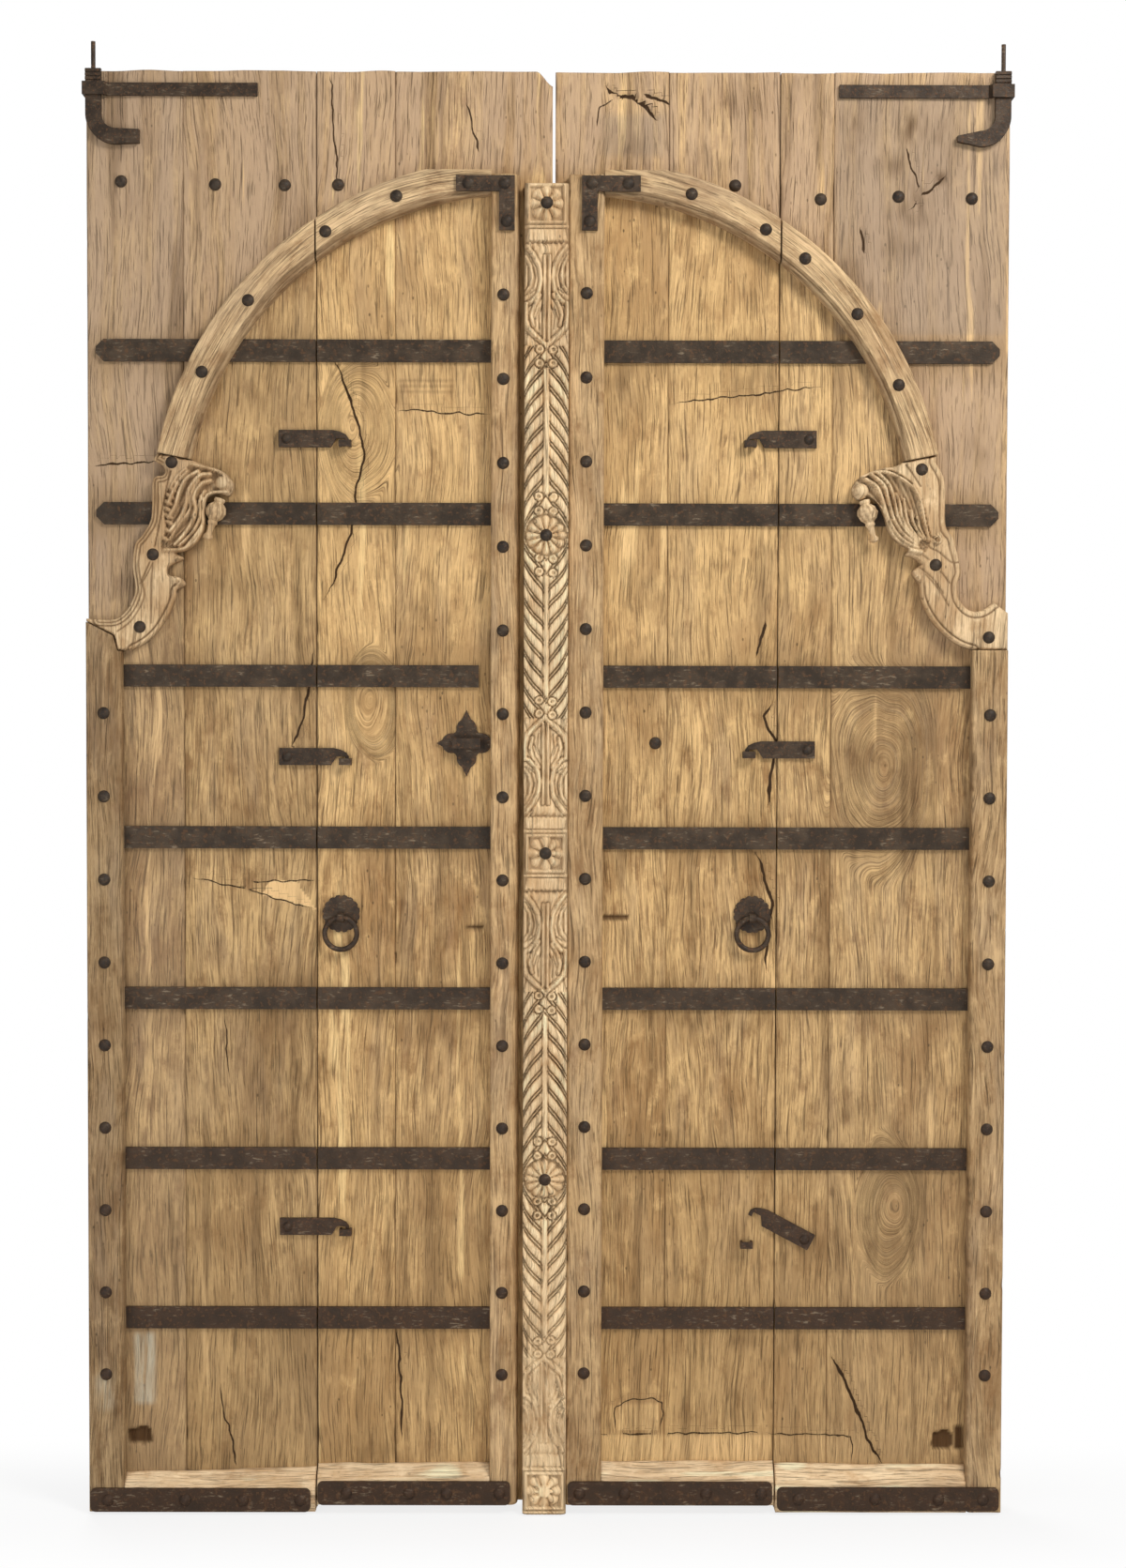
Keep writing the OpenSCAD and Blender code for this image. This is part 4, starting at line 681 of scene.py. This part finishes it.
def cover_mesh():
    """The carved cover strip: rosette blocks, leaf ornament and round flowers, worn on its edges."""
    U, Z = grid(np.linspace(-COVER_HALF, COVER_HALF, 57),
                np.linspace(COVER_FOOT, COVER_TOP, 1241))
    v = np.where(Z >= BLOOMS[0], np.abs(BLOCKS[0] - Z), (Z - BLOCKS[1]) * RUN / SHORT_RUN)
    v = np.where(Z < BLOCKS[1], BLOCKS[1] - Z, v)
    v = np.where(Z < BLOOMS[1], np.abs(Z - BLOCKS[2]) * RUN / SHORT_RUN, v)
    a = np.abs(U + 0.8 * lattice(90, U, Z, 60, 90))
    v = v + 3 * lattice(96, U, Z, 42, 66) * step(v, 80, 110) * step(-v, -560, -540)
    rib_run = np.interp(a, [0, 4, 8, 14, 22, 30, 36, 40], [-8, -2, 5, 12, 21, 32, 43, 53])
    t = np.mod((v - 262 - rib_run) / 33, 1)
    body = 0.7 + 0.3 * np.sin(np.pi * unit(t / 0.78))
    body = body * step(t, 0, 0.09) * step(0.78 - t, 0, 0.1)
    leaf = np.maximum(body, 0.92 * dome((t - 0.885) / 0.085))
    raised = np.where(v > 251, 8.6 * leaf, np.where(v > 70, 4.8, 2))

    def add(form):
        np.maximum(raised, form, out=raised)

    inner = v < 37.5
    m = np.maximum(a, v)
    add(np.where(inner, 7 * unit(1 - ((m - 33) / 4.2) ** 2), 0))
    add(np.where(inner, flower(a, v, 8, 33, 8.4), 0))
    add(6 * step(v, 37.5, 39) * step(-v, -43.5, -42))
    fringe = 66 + 3 * np.abs(np.sin(a * 0.42))
    flutes = 5.6 + 0.7 * np.cos(a * 0.84)
    add(flutes * step(v, 44.5, 46.5) * step(fringe - v, 0, 2) * step(34 + 5 * (v - 44) / 24 - a, 0, 2))
    raised -= 2.6 * step(v, 67, 70) * step(-v, -78, -71)
    for c in (0, 10.5, 21, 31):
        e = ((a - c) / 4.8) ** 2 + ((v - 82 + 0.12 * c) / 12) ** 2
        add(6.6 * np.sqrt(unit(1 - e)))
    for points, width, height in CALYX:
        d = line_distance(a, v, points)[0]
        add(height * dome(d / width))
        raised -= 3 * np.exp(-((d - width - 0.8) / 1.3) ** 2)
    for points in VEINS:
        raised -= groove(a, v, points, 1.4, 3.2)
    for c, y in ((12, 258), (12, 283), (13, 521), (13, 547)):
        d = np.hypot(a - c, v - y)
        raised = np.where(d < 9.5, 1.6, raised)
        raised = np.maximum(raised, ring(a, v, c, y, 5.2, 3.2, 8))
    spine = step(v, 288, 294) * step(-v, -518, -512)
    raised -= 4 * spine * np.exp(-((a - 5.8) / 1.1) ** 2)
    raised = np.maximum(raised, 8.4 * spine * step(4.9 - a, 0, 1.2))
    bloom = flower(a, v - RUN, 12, 37, 9)
    raised = np.where(np.hypot(a, v - RUN) < 38.5, np.maximum(bloom, 1.4), raised)
    worn_low = np.interp(Z, [0, 75, 90, 330, 520], [1, 1, 0.55, 0.6, 1])
    raised *= worn_low
    wear = 0.9 * np.clip(lattice(91, U, Z, 22, 70) + 0.5 * lattice(92, U, Z, 7, 16), 0, 2)
    boss = np.minimum(np.hypot(a, v), np.hypot(a, v - RUN)) < 11
    carved = COVER_H + np.where(boss, 13, 1.42 * raised - wear)
    rim = COVER_HALF - np.abs(U)
    chip = step(lattice(93, U * 0 + np.sign(U) * 40, Z, 40, 34), 0.55, 0.95)
    carved -= (5 + 5 * chip) * unit(1 - rim / (4 + 5 * chip)) ** 1.6
    # painted shade where the carving sinks, and thin dark crack lines
    low = step(raised, 4.6, 1.4)
    cracks = step(lattice(94, U, Z, 3.2, 260), 0.76, 0.92)
    shade_and_stain = np.maximum(0.5 * low * worn_low ** 2, 0.5 * cracks)
    # painted highlight on the raised tops
    pale = 0.55 * step(raised, 4.5, 8.5) * (0.6 + 0.4 * lattice(95, U, Z, 30, 60))
    carved = np.clip(carved, 20, 44)
    return slab("cover_strip_carved", U + COVER_X, Z, carved, 0, {"shade_and_stain": shade_and_stain, "pale": pale})


# The brackets' carving, in millimetres from the foot of the arch
def spline(points, parts):
    """A smooth line through the points, open at both ends."""
    p = np.asarray(points, float)
    q = np.concatenate([p[:1], p, p[-1:]])
    line = []
    for k in range(1, len(q) - 2):
        for t in np.arange(parts) / parts:
            a, b, c, d = q[k - 1:k + 3]
            line.append(0.5 * (2 * b + (c - a) * t + (2 * a - 5 * b + 4 * c - d) * t ** 2
                               + (3 * b - 3 * c + d - a) * t ** 3))
    line.append(p[-1])
    return np.array(line)


# Outlines (inner, corner, outer), sunk fan, raised strokes with width and height, point and beat of
# the hatching, curls, cut lines, distances of cut bands from the outer edge, small leaves, ball, bud
RIGHT_BRACKET = {
    "foot": (ARCH_X + ARCH_R, ARCH_Z),
    "inner": [(-12, 117), (-30, 109), (-52, 106), (-76, 98), (-96, 85), (-104, 65), (-92, 50),
              (-72, 55), (-56, 41), (-45, 16), (-37, -8), (-20, -27), (-2, -38), (-7, -49), (6, -53),
              (20, -66), (5, -80), (18, -102), (21, -127), (38, -162), (63, -191), (90, -210),
              (116, -219)],
    "corner": [(178, -219.5), (178, -153)],
    "outer": [(152, -134), (130, -149), (108, -148), (90, -129), (86, -102), (93, -79), (83, -37),
              (77, -16), (64, 6), (63, 76), (54, 103), (45, 118), (49, 129.5)],
    "fan": [(-104, 62), (-98, 88), (-76, 100), (-50, 107), (-24, 98), (-4, 86), (14, 66), (25, 38),
            (32, 6), (38, -22), (22, -48), (-4, -42), (-26, -26), (-44, 2), (-52, 30), (-70, 50)],
    "strokes": [
        ([(-90, 90), (-66, 99), (-38, 98), (-9, 83), (11, 64), (21, 36), (27, 6), (34, -22)], 3.2, 12),
        ([(-70, 50), (-50, 29), (-42, 2), (-25, -23), (-1, -39), (20, -44)], 5.5, 14),
        ([(-80, 86), (-60, 72), (-50, 48), (-41, 20), (-28, -6), (-8, -26), (14, -36)], 4.2, 13),
        ([(-70, 94), (-48, 76), (-39, 46), (-30, 16), (-14, -10), (12, -31)], 4.2, 13),
        ([(-58, 97), (-38, 76), (-29, 48), (-22, 18), (-8, -6), (14, -27)], 3.8, 13),
        ([(-26, 60), (-19, 42), (-15, 19), (-4, -4), (15, -23)], 3.6, 12),
        ([(-12, 50), (-8, 24), (-3, 6), (9, -12), (19, -22)], 3.2, 11),
        ([(2, 30), (5, 12), (13, -6), (23, -20)], 3, 11),
        ([(12, 20), (15, 4), (22, -10), (28, -20)], 2.6, 10),
    ],
    "hatch": (34, -40, 74),
    "rings": [(49, -22, 6.2, 2.6, 13), (2, -60, 5.5, 3.4, 12), (14, -90, 4, 4, 12)],
    "lines": [[(45, -22), (36, -16), (34, -34), (52, -44), (74, -62), (88, -62)],
              [(24, -50), (48, -70), (72, -100)], [(28, -84), (50, -108), (70, -140)],
              [(18, -72), (40, -90), (60, -118)]],
    "band": (11,), "lobes": [],
    "ball": (-88, 66, 13),
    "bud": (-83, 50, 14),
    "nails": [(20, 104), (46, -67), (143, -197)],
    "crack": [(-8, 112), (4, 96), (18, 74)],
}
LEFT_BRACKET = {
    "foot": (-ARCH_X - ARCH_R, ARCH_Z),
    "inner": [(-95, -222), (-73, -210), (-49, -188), (-27, -152), (-18, -128), (-16, -115), (-1, -105),
              (-10, -93), (-32, -88), (-29, -72), (-4, -59), (-16, -49), (6, -42), (28, -20), (36, 4),
              (36, 36), (43, 53), (62, 58), (80, 55), (86, 77), (66, 99), (40, 107), (12, 117)],
    "corner": [(-178, -167), (-178, -172), (-128, -197), (-122, -224)],
    "outer": [(-49, 129.5), (-55, 117), (-38, 106), (-38, 91), (-57, 84), (-59, 41), (-62, 9),
              (-78, -18), (-90, -34), (-94, -74), (-89, -111), (-96, -136), (-108, -155), (-126, -168),
              (-154, -169)],
    "fan": [(-4, 100), (18, 110), (48, 106), (72, 98), (86, 77), (78, 56), (44, 55), (37, 36), (36, 4),
            (26, -22), (4, -42), (-34, -48), (-44, -34), (-34, -8), (-37, 20), (-36, 46), (-30, 66),
            (-18, 84)],
    "strokes": [
        ([(-36, -44), (-3, -42), (20, -27), (32, -2), (35, 26), (36, 46), (48, 58), (76, 60)], 4.2, 13),
        ([(12, 110), (40, 104), (64, 96), (80, 80)], 3.4, 12),
        ([(2, -40), (30, -3), (39, 28), (30, 52)], 4.4, 13),
        ([(-10, -36), (14, -12), (28, 16), (27, 42), (36, 62)], 3.6, 12),
        ([(-17, -34), (8, -3), (20, 28), (17, 52), (30, 74), (46, 80)], 4.6, 13),
        ([(-26, -10), (-7, 15), (3, 40), (8, 65), (27, 89), (46, 92)], 4.6, 13),
        ([(-28, -26), (-8, 4), (10, 30), (11, 54), (24, 80)], 3.2, 11),
        ([(-29, 15), (-17, 34), (-10, 58), (2, 83), (24, 97)], 4.4, 13),
        ([(-29, 40), (-22, 58), (-10, 80), (5, 97)], 4, 12),
        ([(-24, 70), (-12, 89), (2, 102)], 3.6, 12),
    ],
    "hatch": (-60, -60, 60),
    "rings": [(56, 52, 8, 3.4, 14), (-12, -62, 5.5, 3.4, 12), (-12, -99, 5, 4.2, 12)],
    "lines": [[(-55, -61), (-66, -84), (-78, -104)],
              [(-76, -105), (-74, -131), (-96, -170), (-122, -190)],
              [(-58, -64), (-60, -120), (-61, -175)]],
    "band": (5, 11),
    "lobes": [(-10, 90), (-18, 78), (-24, 66), (-28, 54), (-31, 42), (-32, 30), (-31, 18), (-29, 6),
              (-32, -8), (-38, -22)],
    "ball": (68, 77, 13),
    "bud": (64, 50, -18),
    "nails": [(-23, 113), (-57, -52), (-81, -182)],
    "crack": [(-10, 124), (-23, 113), (-57, -52), (-80, -104)],
}
BRACKETS = {"right_bracket": RIGHT_BRACKET, "left_bracket": LEFT_BRACKET}
# The bud's radius, and how far down
BUD = [(0, 0), (9, 0), (10, 6), (8, 9), (15, 16), (18, 26), (14, 36), (8, 42), (9, 47), (6, 52),
       (5, 66), (9, 72), (8, 77), (0, 80)]


def inside(x, z, outline):
    hit = np.zeros(x.shape, bool)
    for (ax, az), (bx, bz) in zip(outline, np.roll(outline, -1, 0)):
        if az != bz:
            hit ^= ((az > z) != (bz > z)) & (x < (bx - ax) * (z - az) / (bz - az) + ax)
    return hit


def closed(outline):
    return np.concatenate([outline, outline[:1]])


def bud_mesh(x, z, lean, start):
    """The turned bud below the fan, with slanting flutes."""
    s = np.linspace(0, 80, 61)
    profile = np.interp(s, [p[1] + 0.01 * i for i, p in enumerate(BUD)], [p[0] for p in BUD])
    turn = np.linspace(0, 2 * np.pi, 32, endpoint=False)
    S, T = grid(s, turn)
    R = profile[:, None] * (1 + 0.09 * np.cos(9 * T + 0.16 * S) * ((S > 10) & (S < 42)))
    c, d = math.cos(math.radians(lean)), math.sin(math.radians(lean))
    px = x + d * S + c * R * np.cos(T)
    pz = z - c * S + d * R * np.cos(T)
    depth = np.maximum(20 + R * np.sin(T), 1)
    index = start + np.arange(S.size).reshape(S.shape)
    nxt = np.roll(index, -1, 1)
    faces = np.stack([index[:-1], index[1:], nxt[1:], nxt[:-1]], -1).reshape(-1, 4)
    # painted shade in the flutes
    flutes = 0.45 * ((np.cos(9 * T + 0.16 * S) < -0.3) & (S > 10) & (S < 42))
    return px.ravel(), pz.ravel(), depth.ravel(), faces.tolist(), flutes.ravel()


def bracket_mesh(name, seed):
    """A carved bracket: leaves in ridges over a sunk ground, a ball and a hanging bud."""
    spec = BRACKETS[name]
    inner, outer = spline(spec["inner"], 4), spline(spec["outer"], 4)
    corner = np.asarray(spec["corner"], float)
    sides = [inner, corner, outer] if name.startswith("right") else [inner, outer, corner]
    outline = np.concatenate(sides)
    pitch = 1.6
    x, z = grid(np.arange(outline[:, 0].min() - 2, outline[:, 0].max() + 3, pitch),
                np.arange(outline[:, 1].min() - 2, outline[:, 1].max() + 3, pitch))
    index = np.arange(x.size).reshape(x.shape)
    keep = inside(x[:-1, :-1] + pitch / 2, z[:-1, :-1] + pitch / 2, outline)
    quads = np.stack([index[:-1, :-1], index[1:, :-1], index[1:, 1:], index[:-1, 1:]], -1)[keep]
    edges = np.concatenate([quads[:, [0, 1]], quads[:, [1, 2]], quads[:, [2, 3]], quads[:, [3, 0]]])
    keys = np.sort(edges, 1)
    _, first, counts = np.unique(keys[:, 0] * x.size + keys[:, 1], return_index=True, return_counts=True)
    border = edges[first[counts == 1]]
    used, quads = np.unique(quads, return_inverse=True)
    quads = quads.reshape(-1, 4)
    border = np.searchsorted(used, border)
    x, z = x.ravel()[used], z.ravel()[used]
    rim, _, _, px, pz = line_distance(x, z, closed(outline))
    on_edge = np.zeros(len(x), bool)
    on_edge[border.ravel()] = True
    x, z, rim = np.where(on_edge, px, x), np.where(on_edge, pz, z), np.where(on_edge, 0, rim)
    fan = spline(spec["fan"] + spec["fan"][:1], 3)
    into_fan = line_distance(x, z, closed(fan))[0] * np.where(inside(x, z, fan), 1, -1)
    sunk = step(into_fan, -0.8, 1.6)
    hx, hz, beat = spec["hatch"]
    hatch = np.sin(beat * np.arctan2(z - hz, x - hx))
    front = BRACKET_H - (6 - 1.8 * hatch) * sunk
    raised, cuts = np.zeros(len(x)), np.zeros(len(x))

    def add(form, to=raised):
        np.maximum(to, form, out=to)

    for points, width, height in spec["strokes"]:
        add(bump_line(x, z, spline(points, 4), width, height))
    for cx, cz in spec["lobes"]:
        e = ((x - cx - 2) / 9) ** 2 + ((z - cz + 0.5 * (x - cx)) / 4.6) ** 2
        add(11 * np.sqrt(unit(1 - e)))
    for args in spec["rings"]:
        add(ring(x, z, *args))
    bx, bz, br = spec["ball"]
    ball = np.sqrt(np.clip(br ** 2 - (x - bx) ** 2 - (z - bz) ** 2, 0, None))
    add(ball * 1.25)
    front = np.maximum(front, np.where(raised > 0, 17 + raised, 0))
    to_outer, to_inner = line_distance(x, z, outer)[0], line_distance(x, z, inner)[0]
    for offset in spec["band"]:
        add(3 * np.exp(-((to_outer - offset) / 1.5) ** 2), cuts)
    add(3.4 * np.exp(-((to_inner - 8) / 1.6) ** 2) * step(-z, 96, 108), cuts)
    for points in spec["lines"]:
        add(groove(x, z, spline(points, 4), 1.5, 2.6), cuts)
    front -= cuts * (1 - sunk)
    front -= 6 * unit(1 - rim / 3.5) ** 1.5
    front -= 0.8 * np.clip(lattice(seed, x, z, 18, 18) + 0.5 * lattice(seed + 1, x, z, 6, 6), 0, 2)
    # painted shade in the sunk ground, in the cut lines and in the crack
    low = sunk * step(raised, 6, 1)
    crack = step(line_distance(x, z, spec["crack"])[0], 2.2, 0.8)
    front -= 2.5 * crack
    shade_and_stain = np.maximum(np.maximum((0.5 - 0.22 * hatch) * low, 0.3 * cuts * (1 - sunk)), 0.8 * crack)
    for cx, cz in spec["nails"]:
        flat = step(np.hypot(x - cx, z - cz), 16, 12)
        front = front * (1 - flat) + BRACKET_H * flat
        shade_and_stain *= 1 - flat
    front = np.clip(front, 4, 34)
    # painted highlight on the raised tops
    pale = 0.6 * step(raised, 8, 13) * (0.65 + 0.35 * lattice(seed + 2, x, z, 25, 25))
    count = len(x)
    order = np.unique(border)
    rear = np.searchsorted(order, border) + count
    walls = np.stack([border[:, 1], border[:, 0], rear[:, 0], rear[:, 1]], 1)
    total = count + len(order)
    qx, qz, depth, bud_faces, flutes = bud_mesh(*spec["bud"], total)
    fx, fz = spec["foot"]
    points = np.stack([np.concatenate([x, x[order], qx]) + fx,
                       FACE_Y - np.concatenate([front, np.zeros(len(order)), depth]),
                       np.concatenate([z, z[order], qz]) + fz], 1)
    blank = np.zeros(len(order))
    # painted shade on the side walls and in the bud's flutes
    marks = {"shade_and_stain": np.concatenate([shade_and_stain, blank + 0.5, flutes]),
             "pale": np.concatenate([pale, blank, flutes * 0 + 0.2])}
    faces = quads.tolist() + bud_faces + walls.tolist()
    return solid(name + "_carved", points, faces, len(quads) + len(bud_faces), marks)


# The stiles, sills and arch, with worn edges
def worn(rim, X, Z, seed, deepest):
    """How much wear takes off a board's edge, and where it has broken away."""
    chip = step(lattice(seed, X * 0.02, Z, 3, 38) + 0.4 * lattice(seed + 1, X, Z, 30, 12), 0.5, 1)
    reach = 2.2 + 5 * chip
    return (2 + deepest * chip) * unit(1 - rim / reach) ** 1.5, chip * np.exp(-rim / 6)


# Left and right edge, foot, top, widths of the left and right roundings, depth of the right one
STILES = {
    "left_outer_stile": (-HALF_W, -OUTER_STILE, OUTER_FOOT, 1620, 2, 7, 7),
    "left_inner_stile": (-LEFT_STILE, -51, INNER_FOOT, 2420, 5, 13, 22),
    "right_inner_stile": (37, RIGHT_STILE, INNER_FOOT, 2420, 3, 5, 5),
    "right_outer_stile": (OUTER_STILE, HALF_W, OUTER_FOOT, 1573, 7, 2, 2),
}
STILE_PAINT_BOX = (-824, -775, 181, 265, 18)


def stile_mesh(name, seed):
    """A stile with a moulded inner edge and worn corners."""
    x0, x1, foot, top, ease, w, h = STILES[name]
    u = 0.5 - 0.5 * np.cos(np.linspace(0, np.pi, 19))
    X, T = grid(x0 + (x1 - x0) * u, np.linspace(0, 1, 460))
    tops = np.full_like(X, top)
    if name == "left_outer_stile":
        tops = np.interp(X, [-HALF_W, -780.6, -774.6, -OUTER_STILE], [1620, 1595, 1568, 1568])
    Z = foot + (tops - foot) * T
    front = STILE_H - 0.5 - 0.5 * lattice(seed, X, Z, 25, 160)
    front -= h * (1 - dome(unit(1 - (x1 - X) / w)))
    front -= ease * (1 - dome(unit(1 - (X - x0) / ease)))
    off, broken = worn(np.minimum(X - x0, x1 - X), X, Z, seed + 3, 5)
    shade_and_stain = 0.45 * broken + 0.5 * step(lattice(seed + 6, X, Z, 4, 300), 0.72, 0.92)
    pale = 0.5 * step(lattice(seed + 7, X, Z, 14, 120), 0.3, 0.9)
    marks = {"shade_and_stain": shade_and_stain, "pale": pale}
    if name == "left_outer_stile":
        ragged = 0.5 + 0.5 * lattice(seed + 9, X, Z, 7, 30)
        marks["chalk"] = 0.6 * box_mask(X, Z, *STILE_PAINT_BOX) * ragged
    return slab(name + "_worn", X, Z, np.clip(front - off, 1, STILE_H), 0, marks)


SILLS = {  # left and right edge, foot, heights of the upper edge at both ends
    "left_outer_sill": (-OUTER_STILE, -JOINT_OUT, OUTER_FOOT, 68, 79),
    "left_inner_sill": (-JOINT_IN, -LEFT_STILE, INNER_FOOT, 84, 87),
    "right_inner_sill": (RIGHT_STILE, JOINT_IN, INNER_FOOT, 88, 90),
    "right_outer_sill": (JOINT_OUT, OUTER_STILE, OUTER_FOOT, 86, 83),
}
SILL_FRONT = 46


def sill_mesh(name, seed):
    """A sloped sill with a worn, uneven upper edge."""
    x0, x1, foot, left, right = SILLS[name]
    share = np.array([0, 0.3, 0.45, 0.52, 0.56, 0.6, 0.66, 0.72, 0.78, 0.84, 0.9, 0.95, 1])
    X, T = grid(np.linspace(x0, x1, 90), share)
    top = left + (right - left) * (X - x0) / (x1 - x0) + 1.6 * lattice(seed, X, X * 0, 45, 50)
    Z = foot + (top - foot) * T
    slope = unit((Z - foot - SILL_FRONT) / (top - foot - SILL_FRONT))
    front = STILE_H - 23 * slope - 0.8 * step(lattice(seed + 1, X, Z, 60, 9), -0.2, 0.8)
    front -= 1.6 * np.exp(-((Z - foot - SILL_FRONT) / 4) ** 2)
    shade_and_stain = 0.3 * step(lattice(seed + 2, X, Z, 120, 4), 0.45, 0.9)
    pale = 0.6 * step(lattice(seed + 3, X, Z, 90, 12), 0.1, 0.8)
    return slab(name + "_worn", X, Z, np.clip(front, 1, STILE_H), 0, {"shade_and_stain": shade_and_stain, "pale": pale})


ARCHES = ("left_arch_lower", "left_arch_upper", "right_arch_lower", "right_arch_upper")
ARCH_START, ARCH_TOP = 11.507, 2428  # degrees of the lower ends, height where the crown is cut flat


def arch_mesh(name, seed):
    """A length of the arch, with a sunk bead along its inner edge."""
    sign = -1 if name.startswith("left") else 1
    stile = LEFT_STILE if sign < 0 else RIGHT_STILE
    u = 0.5 - 0.5 * np.cos(np.linspace(0, np.pi, 33))
    R, T = grid(ARCH_R + ARCH_W * u, np.linspace(0, 1, 170))
    if name.endswith("lower"):
        start, end = np.full_like(R, math.radians(ARCH_START)), np.arccos((JOINT_OUT - ARCH_X) / R)
    else:
        start, end = np.arccos((JOINT_IN - ARCH_X) / R), np.arccos((stile - ARCH_X) / R)
    A = start + (end - start) * T
    X = sign * (ARCH_X + R * np.cos(A))
    Z = np.minimum(ARCH_Z + R * np.sin(A), ARCH_TOP + 0.01 * (R - ARCH_R - ARCH_W))
    rim = np.minimum(R - ARCH_R, np.minimum(ARCH_R + ARCH_W - R, np.maximum(ARCH_TOP - Z, 0) + 4))
    run = A * 600
    front = STILE_H - 0.5 - 0.5 * lattice(seed, R, run, 25, 120)
    bead = 16 + 7 * dome((R - ARCH_R - 5.2) / 5.6)
    front = np.where(R - ARCH_R < 11, bead, front)
    off, broken = worn(rim, R, run, seed + 3, 4)
    shade_and_stain = 0.45 * broken + 0.5 * step(lattice(seed + 6, R, run, 4, 260), 0.74, 0.92)
    # painted shade in the groove and cove of the bead
    bead_shade = 0.48 * step(ARCH_R + 12 - R, 0, 1.5) + 0.35 * np.exp(-((R - ARCH_R - 11) / 1.2) ** 2)
    shade_and_stain = np.maximum(shade_and_stain, bead_shade)
    pale = 0.5 * step(lattice(seed + 7, R, run, 14, 110), 0.3, 0.9)
    front = np.clip(front - off, 1, STILE_H)
    if sign < 0:
        X, Z, front, shade_and_stain, pale = (v[::-1] for v in (X, Z, front, shade_and_stain, pale))
    return slab(name + "_worn", X, Z, front, 0, {"shade_and_stain": shade_and_stain, "pale": pale})


make_camera()
make_light()
make_floor()

GAIN = {  # how much paler or darker than the rest a board is coloured
    "left_plank_a": 0.94, "left_plank_b": 0.86, "left_plank_c": 1.08, "left_plank_d": 1.06,
    "right_plank_a": 1.04, "left_outer_stile": 0.74, "left_inner_stile": 1.16,
    "right_inner_stile": 1.06,
}
PLANK_TONES = ((0.78, 0.515, 0.232), (0.56, 0.355, 0.148), (0.255, 0.15, 0.064))
FRAME_TONES = ((0.6, 0.405, 0.205), (0.46, 0.302, 0.148), (0.24, 0.148, 0.07))


def board(name, tones, *how):
    return wood(name + "_teak", *(tint(tone, GAIN.get(name, 1)) for tone in tones), "z", True, *how)


plank_mats = {n: board(n, PLANK_TONES, 0.22, 0.37 * i, OUTSIDE) for i, n in enumerate(PLANKS)}
stile_mats = {n: board(n, FRAME_TONES, 0.3, 4.1 + i) for i, n in enumerate(STILES)}
TEAKS = {  # light, middle and dark tone, way of the grain, wear, stains and painted shade from the mesh, greyness, seed
    "arch": ((0.76, 0.54, 0.295), (0.6, 0.42, 0.225), (0.31, 0.2, 0.105), "arc", True, 0.3, 5.3),
    "carved": ((0.95, 0.725, 0.44), (0.84, 0.625, 0.365), (0.52, 0.365, 0.205), "z", True, 0.2, 6.7),
    "bracket": ((0.83, 0.615, 0.365), (0.7, 0.51, 0.29), (0.42, 0.285, 0.155), "z", True, 0.2, 6.2),
    "sill": ((0.95, 0.745, 0.48), (0.86, 0.645, 0.395), (0.56, 0.39, 0.225), "x", True, 0.15, 7.9),
    "ledge": ((0.55, 0.39, 0.21), (0.43, 0.29, 0.15), (0.25, 0.16, 0.08), "x", False, 0.4, 9.1),
}
IRONS = {  # dark, brown and rust tone, dust, scale
    "strap": ((0.03, 0.02, 0.012), (0.064, 0.042, 0.025), (0.12, 0.06, 0.028), 0.55),
    "fitting": ((0.028, 0.018, 0.011), (0.062, 0.04, 0.024), (0.14, 0.066, 0.03), 0.4, 1.6),
    "nail": ((0.024, 0.017, 0.012), (0.05, 0.035, 0.022), (0.1, 0.052, 0.028), 0.25, 2.0),
}
teak = {n: wood(n + "_teak", *how) for n, how in TEAKS.items()}
irons = {n: iron(n + "_iron", *how) for n, how in IRONS.items()}


def dress(piece, name, mat):
    """Gives a piece its material, and lets it ride and stand for its CAD node."""
    piece.data.materials.append(mat)
    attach(piece, nodes[name]["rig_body"])
    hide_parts(name)


PLANK_SEED, PLANK_STEP = 11, 17
STILE_SEED, ARCH_SEED, SILL_SEED, SEED_STEP = 201, 301, 401, 13
for i, (name, sizes) in enumerate(PLANKS.items()):
    dress(plank_mesh(name, *sizes, PLANK_SEED + PLANK_STEP * i), name, plank_mats[name])
for i, name in enumerate(STILES):
    dress(stile_mesh(name, STILE_SEED + SEED_STEP * i), name, stile_mats[name])
for i, name in enumerate(ARCHES):
    dress(arch_mesh(name, ARCH_SEED + SEED_STEP * i), name, teak["arch"])
for i, name in enumerate(SILLS):
    dress(sill_mesh(name, SILL_SEED + SEED_STEP * i), name, teak["sill"])
dress(cover_mesh(), "cover_strip", teak["carved"])
for name, seed in (("left_bracket", 61), ("right_bracket", 71)):
    dress(bracket_mesh(name, seed), name, teak["bracket"])

SHAPED = ("cover_strip", *BRACKETS, *STILES, *ARCHES, *SILLS, *PLANKS)
for name in nodes:
    if name.endswith("_ledges"):
        paint_node(name, teak["ledge"])
    elif name.endswith("_nails"):
        paint_node(name, irons["nail"])
    elif name.endswith("_straps"):
        paint_node(name, irons["strap"])
    elif name not in SHAPED:
        paint_node(name, irons["fitting"])

bpy.context.scene.view_settings.view_transform = "Standard"
